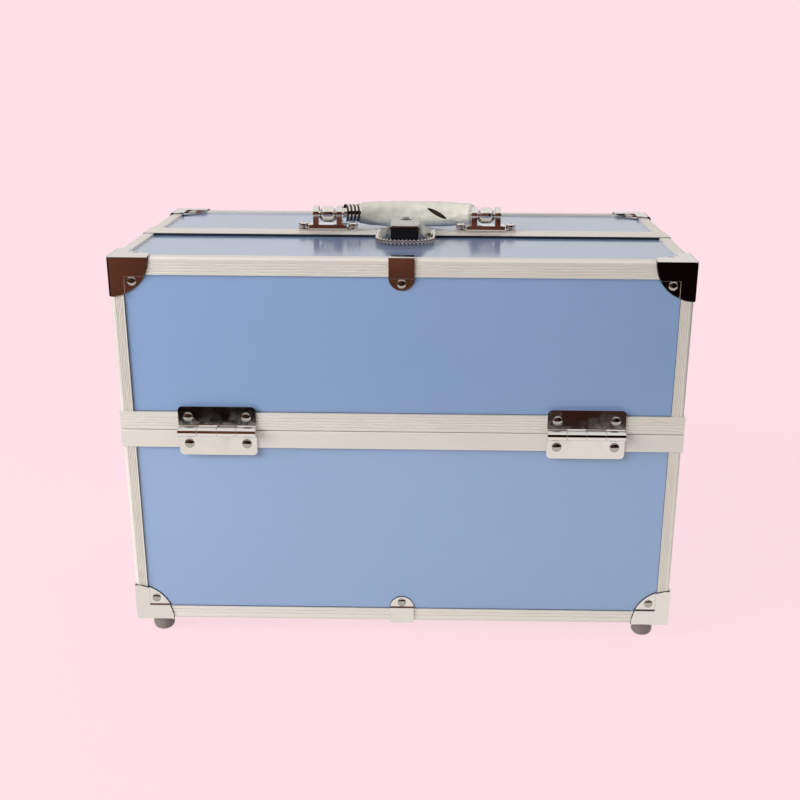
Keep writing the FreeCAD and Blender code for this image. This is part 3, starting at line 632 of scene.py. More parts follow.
def wall_shade_lines(bm, wall, along, half_length, inner, levels, half_width):
    """Dark lines of painted shade beside one wall's posts, and along its rim and its bottom band."""
    rim_z, cap_z, band_z = levels
    reach, post = half_length - CAP_REACH, half_length - LEG_WIDTH
    for side in (-1, 1):
        if inner and side != inner:
            continue
        edge = wall + along * (side * post)
        straight_bead(bm, edge + Z * rim_z, edge + Z * cap_z, half_width)
    ends = (-post, post) if not inner else (inner * STRIP_EDGE, inner * post)
    straight_bead(bm, wall + along * ends[0] + Z * rim_z, wall + along * ends[1] + Z * rim_z, half_width)
    if band_z is not None:
        straight_bead(bm, wall - along * reach + Z * band_z, wall + along * reach + Z * band_z, half_width)


def make_shade_lines(body, sides, top):
    """All the painted shade lines of one body: dark beads round its caps and clips and along its panels."""
    bm = bmesh.new()
    width = sizes().shade_line
    level = CASE_TOP if top else CASE_BOTTOM
    down = -Z if top else Z
    band = TOP_BAND if top else BOTTOM_BAND
    rim_z = LID_RIM_TOP if top else BASE_RIM_FOOT
    cap_z = level + down.z * CAP_REACH * math.sin(math.acos(LEG_WIDTH / CAP_REACH))
    levels = (rim_z, cap_z, None if top else level + band)
    tab = TOP_TAB_DROP if top else BOTTOM_TAB_RISE
    for sy in sides:
        out = Y * sy
        for sx in (-1, 1):
            corner = Vector((sx * HALF.x, sy * HALF.y, level))
            cap_shade_line(bm, corner, X * -sx, down, out, band, width)
            cap_shade_line(bm, corner, -out, down, X * sx, band, width)
            if top:
                cap_shade_line(bm, corner, X * -sx, -out, Z, LEG_WIDTH, width)
            wall_shade_lines(bm, X * (sx * PANEL_X), Y, HALF.y, sy if top else 0, levels, width)
        wall_shade_lines(bm, Y * (sy * PANEL_Y), X, HALF.x, 0, levels, width)
        centre = Vector((0, sy * PANEL_Y, level + down.z * tab))
        bent_bead(bm, centre, X, X.cross(down), 0.0, math.pi, CLIP_HALF, width)
        if top:
            centre = Vector((0, sy * (HALF.y - ROOF_TAB_INSET), ROOF))
            bent_bead(bm, centre, X, X.cross(-out), 0.0, math.pi, CLIP_HALF, width)
    face_out(bm)
    finish_piece(body + "_shade_lines", bm, "painted_shade", body)


class CASE_OT_boards(bpy.types.Operator):
    """Laminated outer boards and the flocked lining inside them"""

    bl_idname = "case.boards"
    bl_label = "Boards and lining"

    def execute(self, context):
        for node in frame["nodes"]:
            if node.endswith(("_panel", "_panels")):
                dress_node(node, "blue_laminate")
            elif node.endswith("_liner"):
                dress_node(node, "lining_felt")
        return {"FINISHED"}


class CASE_OT_extrusions(bpy.types.Operator):
    """Aluminium rims, parting strips, edge angles and corner posts"""

    bl_idname = "case.extrusions"
    bl_label = "Extrusions"

    def execute(self, context):
        endings = ("_rim_frame", "_parting_strip", "_edges", "_corner_posts")
        for node in frame["nodes"]:
            if node.endswith(endings):
                dress_node(node, "aluminium")
        # Dark beads of painted shade round the fittings and along the panels.
        make_shade_lines("base", (-1, 1), False)
        make_shade_lines("front_lid", (-1,), True)
        make_shade_lines("rear_lid", (1,), True)
        # A black strip of painted shade in front of the front parting strip.
        bm = bmesh.new()
        low = (-HALF.x + PARTING_SHADE_INSET, -STRIP_EDGE - sizes().parting_shade_width, ROOF)
        high = (HALF.x - PARTING_SHADE_INSET, -STRIP_EDGE, CASE_TOP + PARTING_SHADE_PROUD)
        rounded_bar(bm, low, high, PARTING_SHADE_ROUNDING)
        finish_piece("parting_shade_strip", bm, "painted_shade", "front_lid")
        return {"FINISHED"}


class CASE_OT_fittings(bpy.types.Operator):
    """Pressed corner caps, edge clips, hinge leaves, pins and rivets"""

    bl_idname = "case.fittings"
    bl_label = "Fittings"

    def execute(self, context):
        for body in ("base", *LIDS):
            edge = sizes().pressed_edge
            softened_piece(body + "_corner_fittings", body + "_pressed_fittings", body, "chrome", edge)
            softened_piece(body + "_hinge_leaves", body + "_hinge_plates", body, "chrome", edge)
            make_rivets(body + "_rivets", body + "_rivet_heads", body)
        dress_node("hinge_pins", "chrome")
        for node in ("tray_arm_studs", "front_lid_tray_studs", "rear_lid_tray_studs"):
            dress_node(node, "bright_steel")
        return {"FINISHED"}


class CASE_OT_feet(bpy.types.Operator):
    """Rubber feet with their screws"""

    bl_idname = "case.feet"
    bl_label = "Feet"

    def execute(self, context):
        softened_piece("rubber_feet", "domed_feet", "base", "dark_rubber", FOOT_EDGE)
        dress_node("foot_screws", "bright_steel")
        return {"FINISHED"}


def make_mat(tray):
    """A flocked mat on a tray's floor, with the tray's round corners."""
    bm = bmesh.new()
    low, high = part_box(tray)
    inset = TRAY_WALL + MAT_CLEARANCE
    size = Vector((high.x - low.x - 2 * inset, high.y - low.y - 2 * inset, sizes().mat_thickness))
    centre = (low + high) / 2
    centre.z = low.z + TRAY_WALL + size.z / 2
    bmesh.ops.create_cube(bm, size=1.0, matrix=Matrix.Translation(centre) @ Matrix.Diagonal((*size, 1.0)))
    uprights = [e for e in bm.edges if abs(e.verts[0].co.z - e.verts[1].co.z) > size.z / 2]
    round_edges(bm, uprights, MAT_CORNER, 6)
    soften(bm, size.z / 4, 60.0)
    finish_piece(tray + "_mat", bm, "lining_felt", tray, even=True)


class CASE_OT_trays(bpy.types.Operator):
    """Moulded trays with flocked mats, their dividers and the arms that carry them"""

    bl_idname = "case.trays"
    bl_label = "Trays"

    def execute(self, context):
        width = sizes().moulded_edge
        for side in ("front", "rear"):
            for level in ("lower", "upper"):
                node = side + "_" + level + "_tray"
                softened_piece(node, node + "_moulding", node, "tray_plastic", width)
                make_mat(node)
            dividers = side + "_upper_tray_dividers"
            softened_piece(dividers, dividers + "_soft", side + "_upper_tray", "tray_plastic", width)
            arms = side + "_tray_arms"
            softened_piece(arms, arms + "_bars", side + "_arms", "bright_steel", width)
        return {"FINISHED"}


# The handle, laid flat about its pivot line: the grip is an arc in the XY plane
PIVOT = Vector(next(j["pos_m"] for j in frame["joints"] if j["name"] == "handle_pivot"))
HANDLE_SLOPE = math.radians(6.1)
GRIP_ARC = 110.96 * MM
GRIP_CENTRE = Vector((0, -85.46 * MM, 0))
GRIP_HALF_ANGLE = math.radians(18.12)
GRIP_END = Vector((34.5 * MM, 20.0 * MM, 0))
CORE_RADIUS = 6.0 * MM
CORE_SIDES = 32
CORE_STEPS = 40
FERRULE_LENGTH = 10.5 * MM
BARREL_X = 54.8 * MM
BARREL_HALF = 5.8 * MM
BARREL_RADIUS = 5.2 * MM
BARREL_ROUNDING = 4.2 * MM
# The dark line under each barrel is painted shade.
BARREL_SHADE_HALF_WIDTH = 0.55 * MM
# The dark rings in the ferrules' grooves are painted shade.
FERRULE_SHADE_RADIUS = 5.75 * MM
FERRULE_SHADE_HALF_WIDTH = 0.5 * MM
FERRULE_SHADE_RINGS = 4
FILM_RADIUS = 6.55 * MM
FILM_RIGHT = math.radians(64.4)
FILM_LEFT = math.radians(108.3)
FILM_TUCK = 0.45
FILM_TUCK_FROM = 0.957
FILM_SKIN = 0.12 * MM
FILM_COLUMNS = 150
FILM_ROWS = 56
FOLD_PATTERN = (150, 0.0, 60, 2.6, 3.1)
RIDGE_PATTERN = (95, 1.7, -70, 1.4, 7.7)
FOLD_SHARE = 0.55
RIDGE_SHARE = 0.6
RIDGE_LEVEL = 0.6
BILLOW_LEAN = 0.85
BILLOW_FULLNESS = 0.75
BILLOW_NARROWNESS = 1.3
RIP_FROM = 13.8 * MM
RIP_TO = 28.0 * MM
RIP_TURN = (math.radians(28), math.radians(-26))
RIP_HALF = math.radians(12.0)
RIP_END_HALF = math.radians(1.2)
RIP_FULLNESS = 0.8
RIP_REACH = 0.7
RIP_PUSH = math.radians(28)
RIP_DRAG = math.radians(62)
LIP_WIDTH = math.radians(16)
LIP_RISE = 1.3


def lay_on_lid(bm):
    """Moves a shape from the handle's flat layout to its place on the lid."""
    place = Matrix.Translation(PIVOT) @ Matrix.Rotation(-HANDLE_SLOPE, 4, "X")
    bmesh.ops.transform(bm, matrix=place, verts=bm.verts)


def bent_tube(bm, radius, sides, start, sweep, steps, closed):
    """A round tube along the grip's arc, from a start angle measured from +X."""
    upright = Matrix.Rotation(math.radians(-90), 4, "X")
    place = (Matrix.Translation(GRIP_CENTRE) @ Matrix.Rotation(start, 4, "Z")
             @ Matrix.Translation((GRIP_ARC, 0, 0)) @ upright @ Matrix.Rotation(math.pi / sides, 4, "Z"))
    swept_circle(bm, radius, sides, place, GRIP_CENTRE, Z, sweep, steps, closed)


def film_noise(across, turn, pattern):
    """Smooth noise over the wrapping, by how often it varies along the grip and about it."""
    along_grip, along_turn, about_grip, about_turn, layer = pattern
    return noise.noise(Vector((
        across * along_grip + turn * along_turn, turn * about_turn + across * about_grip, layer)))


def film_offset(along, turn, across, crumple):
    """How far the wrapping stands off the grip: it billows up, sags below and is crumpled."""
    billow = 0.0
    if 0 < along < 1:
        billow = math.sin(math.pi * along ** BILLOW_LEAN) ** BILLOW_FULLNESS
    up = max(0.0, math.sin(turn)) ** BILLOW_NARROWNESS
    under = max(0.0, -math.sin(turn)) ** BILLOW_NARROWNESS
    loose = sizes().film_rise * billow * up + sizes().film_sag * billow * under
    fold = film_noise(across, turn, FOLD_PATTERN)
    ridge = 1.0 - abs(film_noise(across, turn, RIDGE_PATTERN)) * 2.0
    return loose + crumple * (FOLD_SHARE * fold + RIDGE_SHARE * (ridge - RIDGE_LEVEL))


def bell(distance, spread):
    """1 in the middle, and fading smoothly past the spread."""
    return math.exp(-(distance / spread) ** 2)


def rip_shape(x):
    """Where the rip's middle is and how far it opens each way, as turns about the grip."""
    t = (x - RIP_FROM) / (RIP_TO - RIP_FROM)
    inside = min(1.0, max(0.0, t))
    middle = RIP_TURN[0] + (RIP_TURN[1] - RIP_TURN[0]) * inside
    away = max(0.0, -t, t - 1.0)
    opening = RIP_END_HALF + RIP_HALF * math.sin(math.pi * inside) ** RIP_FULLNESS
    return middle, opening, bell(away, RIP_REACH)


def make_film():
    """The loose wrapping over the grip and the right ferrule, torn open on its front."""
    bm = bmesh.new()
    sweep = FILM_LEFT - FILM_RIGHT
    bent_tube(bm, FILM_RADIUS, FILM_ROWS, FILM_RIGHT, sweep, FILM_COLUMNS, False)
    half_row = math.pi / FILM_ROWS
    torn = set()
    for vert in bm.verts:
        place = vert.co - GRIP_CENTRE
        angle = math.atan2(place.y, place.x)
        out = Vector((math.cos(angle), math.sin(angle), 0))
        depth = place.dot(out) - GRIP_ARC
        turn = math.atan2(place.z, -depth)
        x = vert.co.x
        middle, opening, share = rip_shape(x)
        row = turn if abs(turn) < math.pi - 1e-4 else math.pi
        side = 1.0 if row > 0 else -1.0
        if abs(abs(row) - half_row) < half_row / 2 and RIP_FROM <= x <= RIP_TO:
            torn.add(vert)
        beyond = abs(row) - half_row
        pushed = (opening - half_row) * bell(beyond, RIP_PUSH)
        turned = row + share * (side * pushed + middle * bell(row, RIP_DRAG))
        lip = share * sizes().film_crumple * LIP_RISE * bell(beyond, LIP_WIDTH)
        along = 1.0 - (angle - FILM_RIGHT) / sweep
        stand = FILM_RADIUS + film_offset(along, turned, x, sizes().film_crumple) + lip
        stand *= 1.0 - FILM_TUCK * max(0.0, (along - FILM_TUCK_FROM) / (1.0 - FILM_TUCK_FROM)) ** 2
        spot = out * (GRIP_ARC - stand * math.cos(turned)) + Z * (stand * math.sin(turned))
        vert.co = GRIP_CENTRE + spot
    open_faces = [f for f in bm.faces if all(v in torn for v in f.verts)]
    bmesh.ops.delete(bm, geom=open_faces, context="FACES")
    lay_on_lid(bm)
    top, floor_z = cad_box[1][2] - FILM_SKIN, ROOF + FILM_SKIN * 2
    for vert in bm.verts:
        vert.co.z = min(top, max(floor_z, vert.co.z))
    face_out(bm)
    film = finish_piece("grip_wrapping", bm, "grip_film", "handle", ["handle_grip"], 180.0)
    skin = film.modifiers.new("skin", "SOLIDIFY")
    skin.thickness = FILM_SKIN
    skin.offset = 0.0


def make_barrel_shade_lines():
    """A dark line of painted shade round the lower half of each pivot barrel."""
    bm = bmesh.new()
    side, foot = BARREL_HALF - BARREL_ROUNDING, BARREL_RADIUS - BARREL_ROUNDING
    for sign in (-1, 1):
        middle = PIVOT + X * (sign * BARREL_X)
        bottom = middle - Z * BARREL_RADIUS
        straight_bead(bm, bottom - X * side, bottom + X * side, BARREL_SHADE_HALF_WIDTH)
        for out in (-X, X):
            centre = middle + out * side - Z * foot
            bent_bead(bm, centre, out, out.cross(-Z), 0.0, math.pi / 2, BARREL_ROUNDING, BARREL_SHADE_HALF_WIDTH)
    face_out(bm)
    finish_piece("barrel_shade_lines", bm, "painted_shade", "handle")


class CASE_OT_handle(bpy.types.Operator):
    """Brackets, pins, side arms, the dark grip and its torn wrapping"""

    bl_idname = "case.handle"
    bl_label = "Handle"

    def execute(self, context):
        edge = sizes().pressed_edge
        softened_piece("handle_brackets", "handle_bracket_castings", "rear_lid", "chrome", edge)
        softened_piece("handle_side_arms", "handle_arm_castings", "handle", "chrome", edge)
        make_rivets(
            "handle_bracket_screws", "handle_bracket_screw_heads", "rear_lid", SCREW_SHAPE, "chrome")
        dress_node("handle_pins", "chrome")
        bm = bmesh.new()
        start, sweep = math.pi / 2 - GRIP_HALF_ANGLE, 2 * GRIP_HALF_ANGLE
        bent_tube(bm, CORE_RADIUS, CORE_SIDES, start, sweep, CORE_STEPS, True)
        face_out(bm)
        lay_on_lid(bm)
        finish_piece("grip_core", bm, "grip_plastic", "handle")
        # Dark rings laid in the ferrules' grooves: painted shade that deepens the grooves.
        bm = bmesh.new()
        outward = Vector((math.cos(GRIP_HALF_ANGLE), -math.sin(GRIP_HALF_ANGLE), 0))
        for i in range(FERRULE_SHADE_RINGS):
            centre = GRIP_END + outward * (FERRULE_LENGTH * (i + 0.7) / FERRULE_SHADE_RINGS)
            bent_bead(bm, centre, Z, outward, 0.0, math.tau, FERRULE_SHADE_RADIUS, FERRULE_SHADE_HALF_WIDTH)
        bmesh.ops.remove_doubles(bm, verts=bm.verts, dist=1e-6)
        rings = bm.verts[:] + bm.edges[:] + bm.faces[:]
        bmesh.ops.mirror(bm, geom=rings, matrix=Matrix.Identity(4), merge_dist=0.0, axis="X")
        face_out(bm)
        lay_on_lid(bm)
        finish_piece("ferrule_groove_shade", bm, "grip_plastic", "handle")
        make_barrel_shade_lines()
        make_film()
        return {"FINISHED"}


# The lock
FLANGE_RIB_RADIUS = 0.85 * MM
FLANGE_RIB_PROUD = 0.4 * MM
FLANGE_RIB_STEPS = 12
FLANGE_RIB_DOME = (0.45, 0.9, 1.25)
GROOVE_HALF_WIDTH = 0.55 * MM
GROOVE_LEVELS = (0.3 * MM, 1.2 * MM, 2.1 * MM)
FLANGE_ROUNDING = 13.0 * MM
PLATE_INSET = 0.7 * MM
PLATE_CHAMFER = 2.6 * MM
PLATE_THICKNESS = 0.35 * MM
PLATE_HOLE = 4.35 * MM
PLATE_SIDES = 72
KEY_EDGE = 0.15 * MM
# The keyhole's dark disc is painted shade.
KEYHOLE_SHADE_RADIUS = 2.7 * MM
KEYHOLE_SHADE_SIDES = 32
KEYHOLE_SHADE_DEPTH = 1.5 * MM
KEYHOLE_SHADE_PROUD = 0.1 * MM


def flange_outline(count):
    """Points evenly spaced round the flange's edge, from its right back corner to its left one."""
    low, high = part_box("lock_plate")
    centre_x, centre_y = high.x - FLANGE_ROUNDING, low.y + FLANGE_ROUNDING
    straight = high.y - STRIP_EDGE_CLEARANCE - centre_y
    arc = math.pi * FLANGE_ROUNDING / 2
    total = 2 * (straight + arc + centre_x)
    points = []
    for i in range(count):
        gone = total * (i + 0.5) / count
        side = 1.0 if gone < total / 2 else -1.0
        gone = min(gone, total - gone)
        turn = min(max(0.0, gone - straight) / FLANGE_ROUNDING, math.pi / 2)
        x = centre_x + FLANGE_ROUNDING * math.cos(turn) - max(0.0, gone - straight - arc)
        y = centre_y - FLANGE_ROUNDING * math.sin(turn) + max(0.0, straight - gone)
        points.append(Vector((side * x, y, CASE_TOP if y > -STRIP_EDGE else ROOF)))
    return points


def make_flange_ribs():
    """Upright ribs with domed tops round the flange's edge."""
    bm = bmesh.new()
    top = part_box("lock_plate")[1].z + FLANGE_RIB_PROUD
    r = FLANGE_RIB_RADIUS
    for foot in flange_outline(sizes().flange_ribs):
        height = top - foot.z
        profile = [(r, 0.0), (r, height - r)]
        profile += [(r * math.cos(t), height - r + r * math.sin(t)) for t in FLANGE_RIB_DOME]
        spun(bm, profile + [(0.0, height)], FLANGE_RIB_STEPS, Matrix.Translation(foot))
    finish_piece("lock_flange_ribs", bm, "chrome", "front_lid", sharp_angle=60.0)


def make_flange_grooves():
    """The beads that fill the grooves between the flange's ribs."""
    bm = bmesh.new()
    points = flange_outline(sizes().flange_ribs)
    for start, end in zip(points, points[1:]):
        for level in GROOVE_LEVELS:
            if start.z == end.z:
                straight_bead(bm, start + Z * level, end + Z * level, GROOVE_HALF_WIDTH)
    finish_piece("lock_flange_grooves", bm, "satin_nickel", "front_lid")


def make_hood_plate():
    """A satin plate on the hood with cut front corners and a round hole for the key cylinder."""
    bm = bmesh.new()
    low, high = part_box("lock_hood")
    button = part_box("lock_button")[1].x
    key = sum(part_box("key_cylinder"), Vector()) / 2
    half = button + PLATE_INSET
    front, back = low.y + PLATE_INSET / 2 - key.y, high.y - PLATE_INSET - key.y
    outer = bmesh.ops.create_circle(bm, cap_ends=False, radius=1.0, segments=PLATE_SIDES)["verts"]
    for vert in outer:
        d = vert.co.normalized()
        reach = half / max(abs(d.x), 1e-6)
        reach = min(reach, (front if d.y < 0 else back) / d.y if abs(d.y) > 1e-6 else reach)
        if d.y < 0:
            cut_sum = half - front - PLATE_CHAMFER
            reach = min(reach, cut_sum / (abs(d.x) - d.y))
        vert.co = d * reach
    hole = bmesh.ops.create_circle(bm, cap_ends=False, radius=PLATE_HOLE, segments=PLATE_SIDES)["verts"]
    edges = {e for v in [*outer, *hole] for e in v.link_edges}
    bmesh.ops.bridge_loops(bm, edges=list(edges))
    for face in bm.faces:
        if face.normal.z < 0:
            face.normal_flip()
    bmesh.ops.solidify(bm, geom=bm.faces[:], thickness=-PLATE_THICKNESS)
    face_out(bm)
    bottom = min(v.co.z for v in bm.verts)
    bmesh.ops.translate(bm, verts=bm.verts, vec=(key.x, key.y, high.z - bottom))
    finish_piece("lock_hood_plate", bm, "satin_nickel", "front_lid")


def make_keyhole_shade():
    """A dark disc of painted shade in the top of the key cylinder, for the keyhole's dark recess."""
    bm = bmesh.new()
    low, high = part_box("key_cylinder")
    middle = (low + high) / 2
    middle.z = high.z + KEYHOLE_SHADE_PROUD - KEYHOLE_SHADE_DEPTH / 2
    bmesh.ops.create_cone(
        bm, cap_ends=True, segments=KEYHOLE_SHADE_SIDES, radius1=KEYHOLE_SHADE_RADIUS, radius2=KEYHOLE_SHADE_RADIUS,
        depth=KEYHOLE_SHADE_DEPTH, matrix=Matrix.Translation(middle))
    finish_piece("keyhole_shade", bm, "painted_shade", "key_cylinder")


class CASE_OT_lock(bpy.types.Operator):
    """Lock plate, hood, push button, key cylinder, bolt and keeper"""

    bl_idname = "case.lock"
    bl_label = "Lock"

    def execute(self, context):
        edge = sizes().pressed_edge
        softened_piece("lock_plate", "lock_flange", "front_lid", "chrome", edge)
        softened_piece("lock_hood", "lock_cover", "front_lid", "dark_nickel", edge)
        softened_piece("lock_button", "lock_push", "lock_button", "black_plastic", edge)
        softened_piece("lock_keeper", "lock_catch", "rear_lid", "chrome", edge)
        softened_piece("key_cylinder", "key_barrel", "key_cylinder", "chrome", KEY_EDGE)
        dress_node("lock_bolt", "bright_steel")
        make_flange_ribs()
        make_flange_grooves()
        make_hood_plate()
        make_keyhole_shade()
        return {"FINISHED"}


# ---- stage

FLOOR_HALF = 6.0
FLOOR_GLOW = 0.90
GLOW_START = 0.45
GLOW_END = 1.3
BRIGHT_HALF_X = 0.62
BRIGHT_HALF_Y = 0.525
BRIGHT_FADE = 0.015
BACK_FADE = (0.30, 1.50)
BACK_DARKNESS = 0.80
BROWN_START = 0.62
BROWN_END = 1.05
BROWN_FADE = 0.18
BROWN_LEAN = 0.8
BLACK_SIDE = 0.34
CARD_BLACK = (0.003, 0.0015, 0.0012)
CARD_BROWN = (0.150, 0.052, 0.031)
CARD_PALE = (0.82, 0.77, 0.72)
CARD_LIFT = 0.001
FLOOR_BOUNCE = (0.80, 0.77, 0.76)
BACK_CARD_Y = 2.6
BACK_CARD_FOOT = 0.42
BACK_CARD_HEIGHT = 1.9
BACK_CARD_COLOUR = (0.76, 0.74, 0.73)
SIDE_CARD_COLOUR = (0.16, 0.14, 0.13)
TOP_CARD_Z = 2.3
TOP_CARD_COLOUR = (0.80, 0.78, 0.74)
CARD_HALF = 3.4
FLAG_Y = -2.6
CARDS_HALF_WIDTH = 2.6
FLAG_HEIGHT = 2.3
LAMP_TARGET = Vector((0.0, 0.0, 0.13))
WORLD_COLOUR = (1.0, 0.985, 0.97, 1.0)
WORLD_STRENGTH = 0.33
CAMERA_PLACE = (0.025, -0.802, 0.389)
CAMERA_PITCH = 19.66
CAMERA_YAW = 0.75
CAMERA_ROLL = 0.38
CAMERA_LENS = 52.07
CAMERA_SHIFT = (-0.0328, 0.0564)


def seen_directly(tree):
    """1 where a camera, mirror or glass ray sees the surface, 0 for the light it bounces."""
    path = tree.nodes.new("ShaderNodeLightPath")
    seen = math_node(tree, "MAXIMUM", path.outputs["Is Camera Ray"], path.outputs["Is Glossy Ray"])
    return math_node(tree, "MAXIMUM", seen, path.outputs["Is Transmission Ray"])


def either_shader(tree, share, first, second, out):
    """Gives an output the first shader at a share of 0 and the second at 1."""
    mix = tree.nodes.new("ShaderNodeMixShader")
    for socket, value in zip(mix.inputs, (share, first.outputs[0], second.outputs[0])):
        tree.links.new(value, socket)
    tree.links.new(mix.outputs[0], out.inputs["Surface"])


def floor_material():
    """A pale floor that looks even to the eye and still takes the object's shadow."""
    material, tree, shader, place = new_material("pale_floor")
    out = next(n for n in tree.nodes if n.type == "OUTPUT_MATERIAL")
    path = tree.nodes.new("ShaderNodeLightPath")
    tint = two_colours(tree, path.outputs["Is Diffuse Ray"], tuple(colours().floor), FLOOR_BOUNCE)
    fill_sockets(tree, shader, Base_Color=tint, Roughness=0.9)
    glow = tree.nodes.new("ShaderNodeEmission")
    glow.inputs["Color"].default_value = (*colours().floor, 1.0)
    distance = tree.nodes.new("ShaderNodeVectorMath")
    distance.operation = "LENGTH"
    tree.links.new(place, distance.inputs[0])
    far = ramp(tree, distance.outputs["Value"], GLOW_START, GLOW_END)
    share = math_node(tree, "MULTIPLY_ADD", far, 1.0 - FLOOR_GLOW, FLOOR_GLOW)
    either_shader(tree, math_node(tree, "MULTIPLY", seen_directly(tree), share), shader, glow, out)
    return material


def mirror_only(name):
    """A material that only mirrors see, and the emission that gives its colour."""
    material = bpy.data.materials.new(name)
    material.use_nodes = True
    tree = material.node_tree
    tree.nodes.clear()
    out = tree.nodes.new("ShaderNodeOutputMaterial")
    path = tree.nodes.new("ShaderNodeLightPath")
    clear = tree.nodes.new("ShaderNodeBsdfTransparent")
    card = tree.nodes.new("ShaderNodeEmission")
    either_shader(tree, path.outputs["Is Glossy Ray"], clear, card, out)
    return material, tree, card


def plain_card(name, colour):
    material, _, card = mirror_only(name)
    card.inputs["Color"].default_value = (*colour, 1.0)
    return material


def card_material(name, bright_middle):
    """A studio card that only mirrors see: pale round the case if asked, dark beyond."""
    material, tree, card = mirror_only(name)
    place = tree.nodes.new("ShaderNodeTexCoord").outputs["Object"]
    parts = tree.nodes.new("ShaderNodeSeparateXYZ")
    tree.links.new(place, parts.inputs[0])
    patches = ramp(tree, noise_node(tree, place, 1.9, 2.0), 0.25, 0.60)
    forwards = math_node(tree, "MULTIPLY", parts.outputs[1], -1.0)
    rightwards = math_node(tree, "MAXIMUM", parts.outputs[0], 0.0)
    lean = math_node(tree, "MULTIPLY_ADD", rightwards, BROWN_LEAN, forwards)
    far = ramp(tree, lean, BROWN_START, BROWN_END)
    leftwards = math_node(tree, "MULTIPLY", parts.outputs[0], -1.0)
    left = ramp(tree, leftwards, -BLACK_SIDE, -BLACK_SIDE + BROWN_FADE)
    brown = math_node(tree, "MULTIPLY", math_node(tree, "MULTIPLY", far, left), patches)
    colour = two_colours(tree, brown, CARD_BLACK, CARD_BROWN)
    if bright_middle:
        sideways = math_node(tree, "ABSOLUTE", parts.outputs[0])
        beside = ramp(tree, sideways, BRIGHT_HALF_X, BRIGHT_HALF_X + BRIGHT_FADE)
        before = ramp(tree, forwards, BRIGHT_HALF_Y, BRIGHT_HALF_Y + BRIGHT_FADE)
        behind = math_node(tree, "MULTIPLY", ramp(tree, parts.outputs[1], *BACK_FADE), BACK_DARKNESS)
        outside = math_node(tree, "MAXIMUM", math_node(tree, "MAXIMUM", beside, before), behind)
        colour = two_colours(tree, outside, CARD_PALE, colour)
    tree.links.new(colour, card.inputs["Color"])
    return material


def stage_plane(name, corners, material):
    bm = bmesh.new()
    bm.faces.new([bm.verts.new(c) for c in corners])
    mesh_object(name, bm, material)


def lying(half, near, far, z):
    """The corners of a level rectangle between two distances along Y."""
    return (-half, near, z), (half, near, z), (half, far, z), (-half, far, z)


def across(half, y, foot, top):
    """The corners of an upright rectangle that faces along Y."""
    return (-half, y, foot), (half, y, foot), (half, y, top), (-half, y, top)


def alongside(x, near, far, top):
    """The corners of an upright rectangle that faces along X."""
    return (x, near, 0), (x, far, 0), (x, far, top), (x, near, top)


def area_lamp(name, place, size, power):
    """A soft lamp that points at the case and that no mirror shows."""
    lamp = bpy.data.lights.new(name, "AREA")
    lamp.shape = "RECTANGLE"
    lamp.size, lamp.size_y = size
    lamp.energy = power
    holder = new_object(name, lamp)
    holder.location = place
    holder.rotation_euler = (LAMP_TARGET - Vector(place)).to_track_quat("-Z", "Y").to_euler()
    holder.visible_glossy = False


def studio_world():
    """An even soft light that looks like the floor where it is seen directly."""
    world = bpy.data.worlds.new("studio")
    world.use_nodes = True
    tree = world.node_tree
    background = next(n for n in tree.nodes if n.type == "BACKGROUND")
    out = next(n for n in tree.nodes if n.type == "OUTPUT_WORLD")
    fill_sockets(tree, background, Color=WORLD_COLOUR, Strength=WORLD_STRENGTH)
    glow = tree.nodes.new("ShaderNodeBackground")
    glow.inputs["Color"].default_value = (*colours().floor, 1.0)
    either_shader(tree, seen_directly(tree), background, glow, out)
    return world


def studio_camera():
    """The camera, a little above the case and in front of it."""
    lens = bpy.data.cameras.new("camera")
    lens.lens = CAMERA_LENS
    lens.sensor_width = 36.0
    lens.shift_x, lens.shift_y = CAMERA_SHIFT
    camera = new_object("camera", lens)
    camera.location = CAMERA_PLACE
    turn = Matrix.Rotation(math.radians(CAMERA_YAW), 4, "Z")
    tilt = Matrix.Rotation(math.radians(90 - CAMERA_PITCH), 4, "X")
    roll = Matrix.Rotation(math.radians(CAMERA_ROLL), 4, "Z")
    camera.rotation_euler = (turn @ tilt @ roll).to_euler()
    return camera


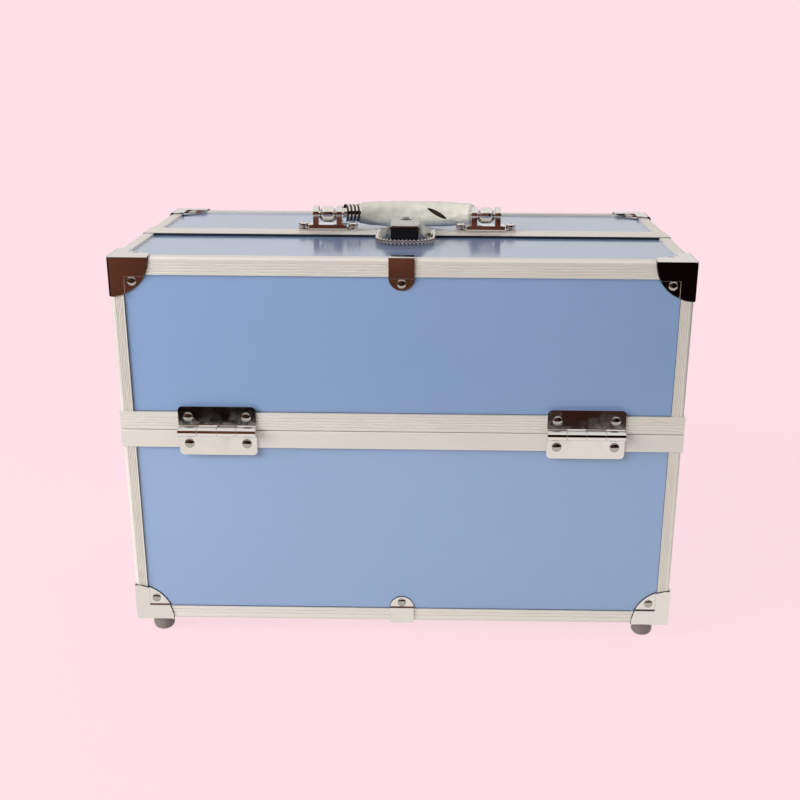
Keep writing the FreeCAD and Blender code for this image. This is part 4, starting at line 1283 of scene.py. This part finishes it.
class CASE_OT_stage(bpy.types.Operator):
    """Pale floor, soft studio light and the camera"""

    bl_idname = "case.stage"
    bl_label = "Stage"

    def execute(self, context):
        half, near, far = CARDS_HALF_WIDTH, FLAG_Y, BACK_CARD_Y
        dark = plain_card("side_card", SIDE_CARD_COLOUR)
        for name, corners, material in (
                ("floor", lying(FLOOR_HALF, -FLOOR_HALF, FLOOR_HALF, 0), floor_material()),
                ("floor_card", lying(CARD_HALF, -CARD_HALF, CARD_HALF, CARD_LIFT),
                 card_material("floor_card", True)),
                ("dark_flag", across(half, near, 0, FLAG_HEIGHT), card_material("dark_flag", False)),
                ("back_card", across(half, far, BACK_CARD_FOOT, BACK_CARD_HEIGHT),
                 plain_card("back_card", BACK_CARD_COLOUR)),
                ("back_foot_card", across(half, far, 0, BACK_CARD_FOOT), dark),
                ("left_card", alongside(-half, near, far, BACK_CARD_HEIGHT), dark),
                ("right_card", alongside(half, near, far, BACK_CARD_HEIGHT), dark),
                ("top_card", lying(half, near, far, TOP_CARD_Z), plain_card("top_card", TOP_CARD_COLOUR))):
            stage_plane(name, corners, material)
        area_lamp("key_lamp", (-1.2, -0.85, 0.85), (1.2, 1.0), 32.0)
        area_lamp("fill_lamp", (1.6, -0.9, 1.2), (1.6, 1.2), 1.5)
        area_lamp("back_lamp", (0.2, 1.6, 1.6), (2.0, 1.0), 5.0)
        area_lamp("side_lamp", (1.6, 1.3, 0.55), (1.4, 0.9), 26.0)
        scene = context.scene
        scene.world = studio_world()
        scene.camera = studio_camera()
        scene.view_settings.view_transform = "Standard"
        return {"FINISHED"}


# ---- panel and run

OPERATORS = (
    CASE_OT_stage, CASE_OT_boards, CASE_OT_extrusions, CASE_OT_fittings, CASE_OT_feet,
    CASE_OT_trays, CASE_OT_handle, CASE_OT_lock,
)


class CASE_PT_panel(bpy.types.Panel):
    """Lists the case's piece groups and settings"""

    bl_label = "Train case"
    bl_idname = "CASE_PT_panel"
    bl_space_type = "VIEW_3D"
    bl_region_type = "UI"
    bl_category = "Train case"

    def draw(self, context):
        layout = self.layout
        for operator in OPERATORS:
            layout.operator(operator.bl_idname)
        for settings in (context.scene.case_sizes, context.scene.case_colours):
            for name in settings.__annotations__:
                layout.prop(settings, name)


CLASSES = (CaseSizes, CaseColours, *OPERATORS, CASE_PT_panel)


def register():
    for cls in CLASSES:
        bpy.utils.register_class(cls)
    bpy.types.Scene.case_sizes = PointerProperty(type=CaseSizes)
    bpy.types.Scene.case_colours = PointerProperty(type=CaseColours)


def unregister():
    del bpy.types.Scene.case_sizes
    del bpy.types.Scene.case_colours
    for cls in reversed(CLASSES):
        bpy.utils.unregister_class(cls)


def main():
    register()
    for operator in OPERATORS:
        getattr(bpy.ops.case, operator.bl_idname.split(".")[1])()


if __name__ == "__main__":
    main()
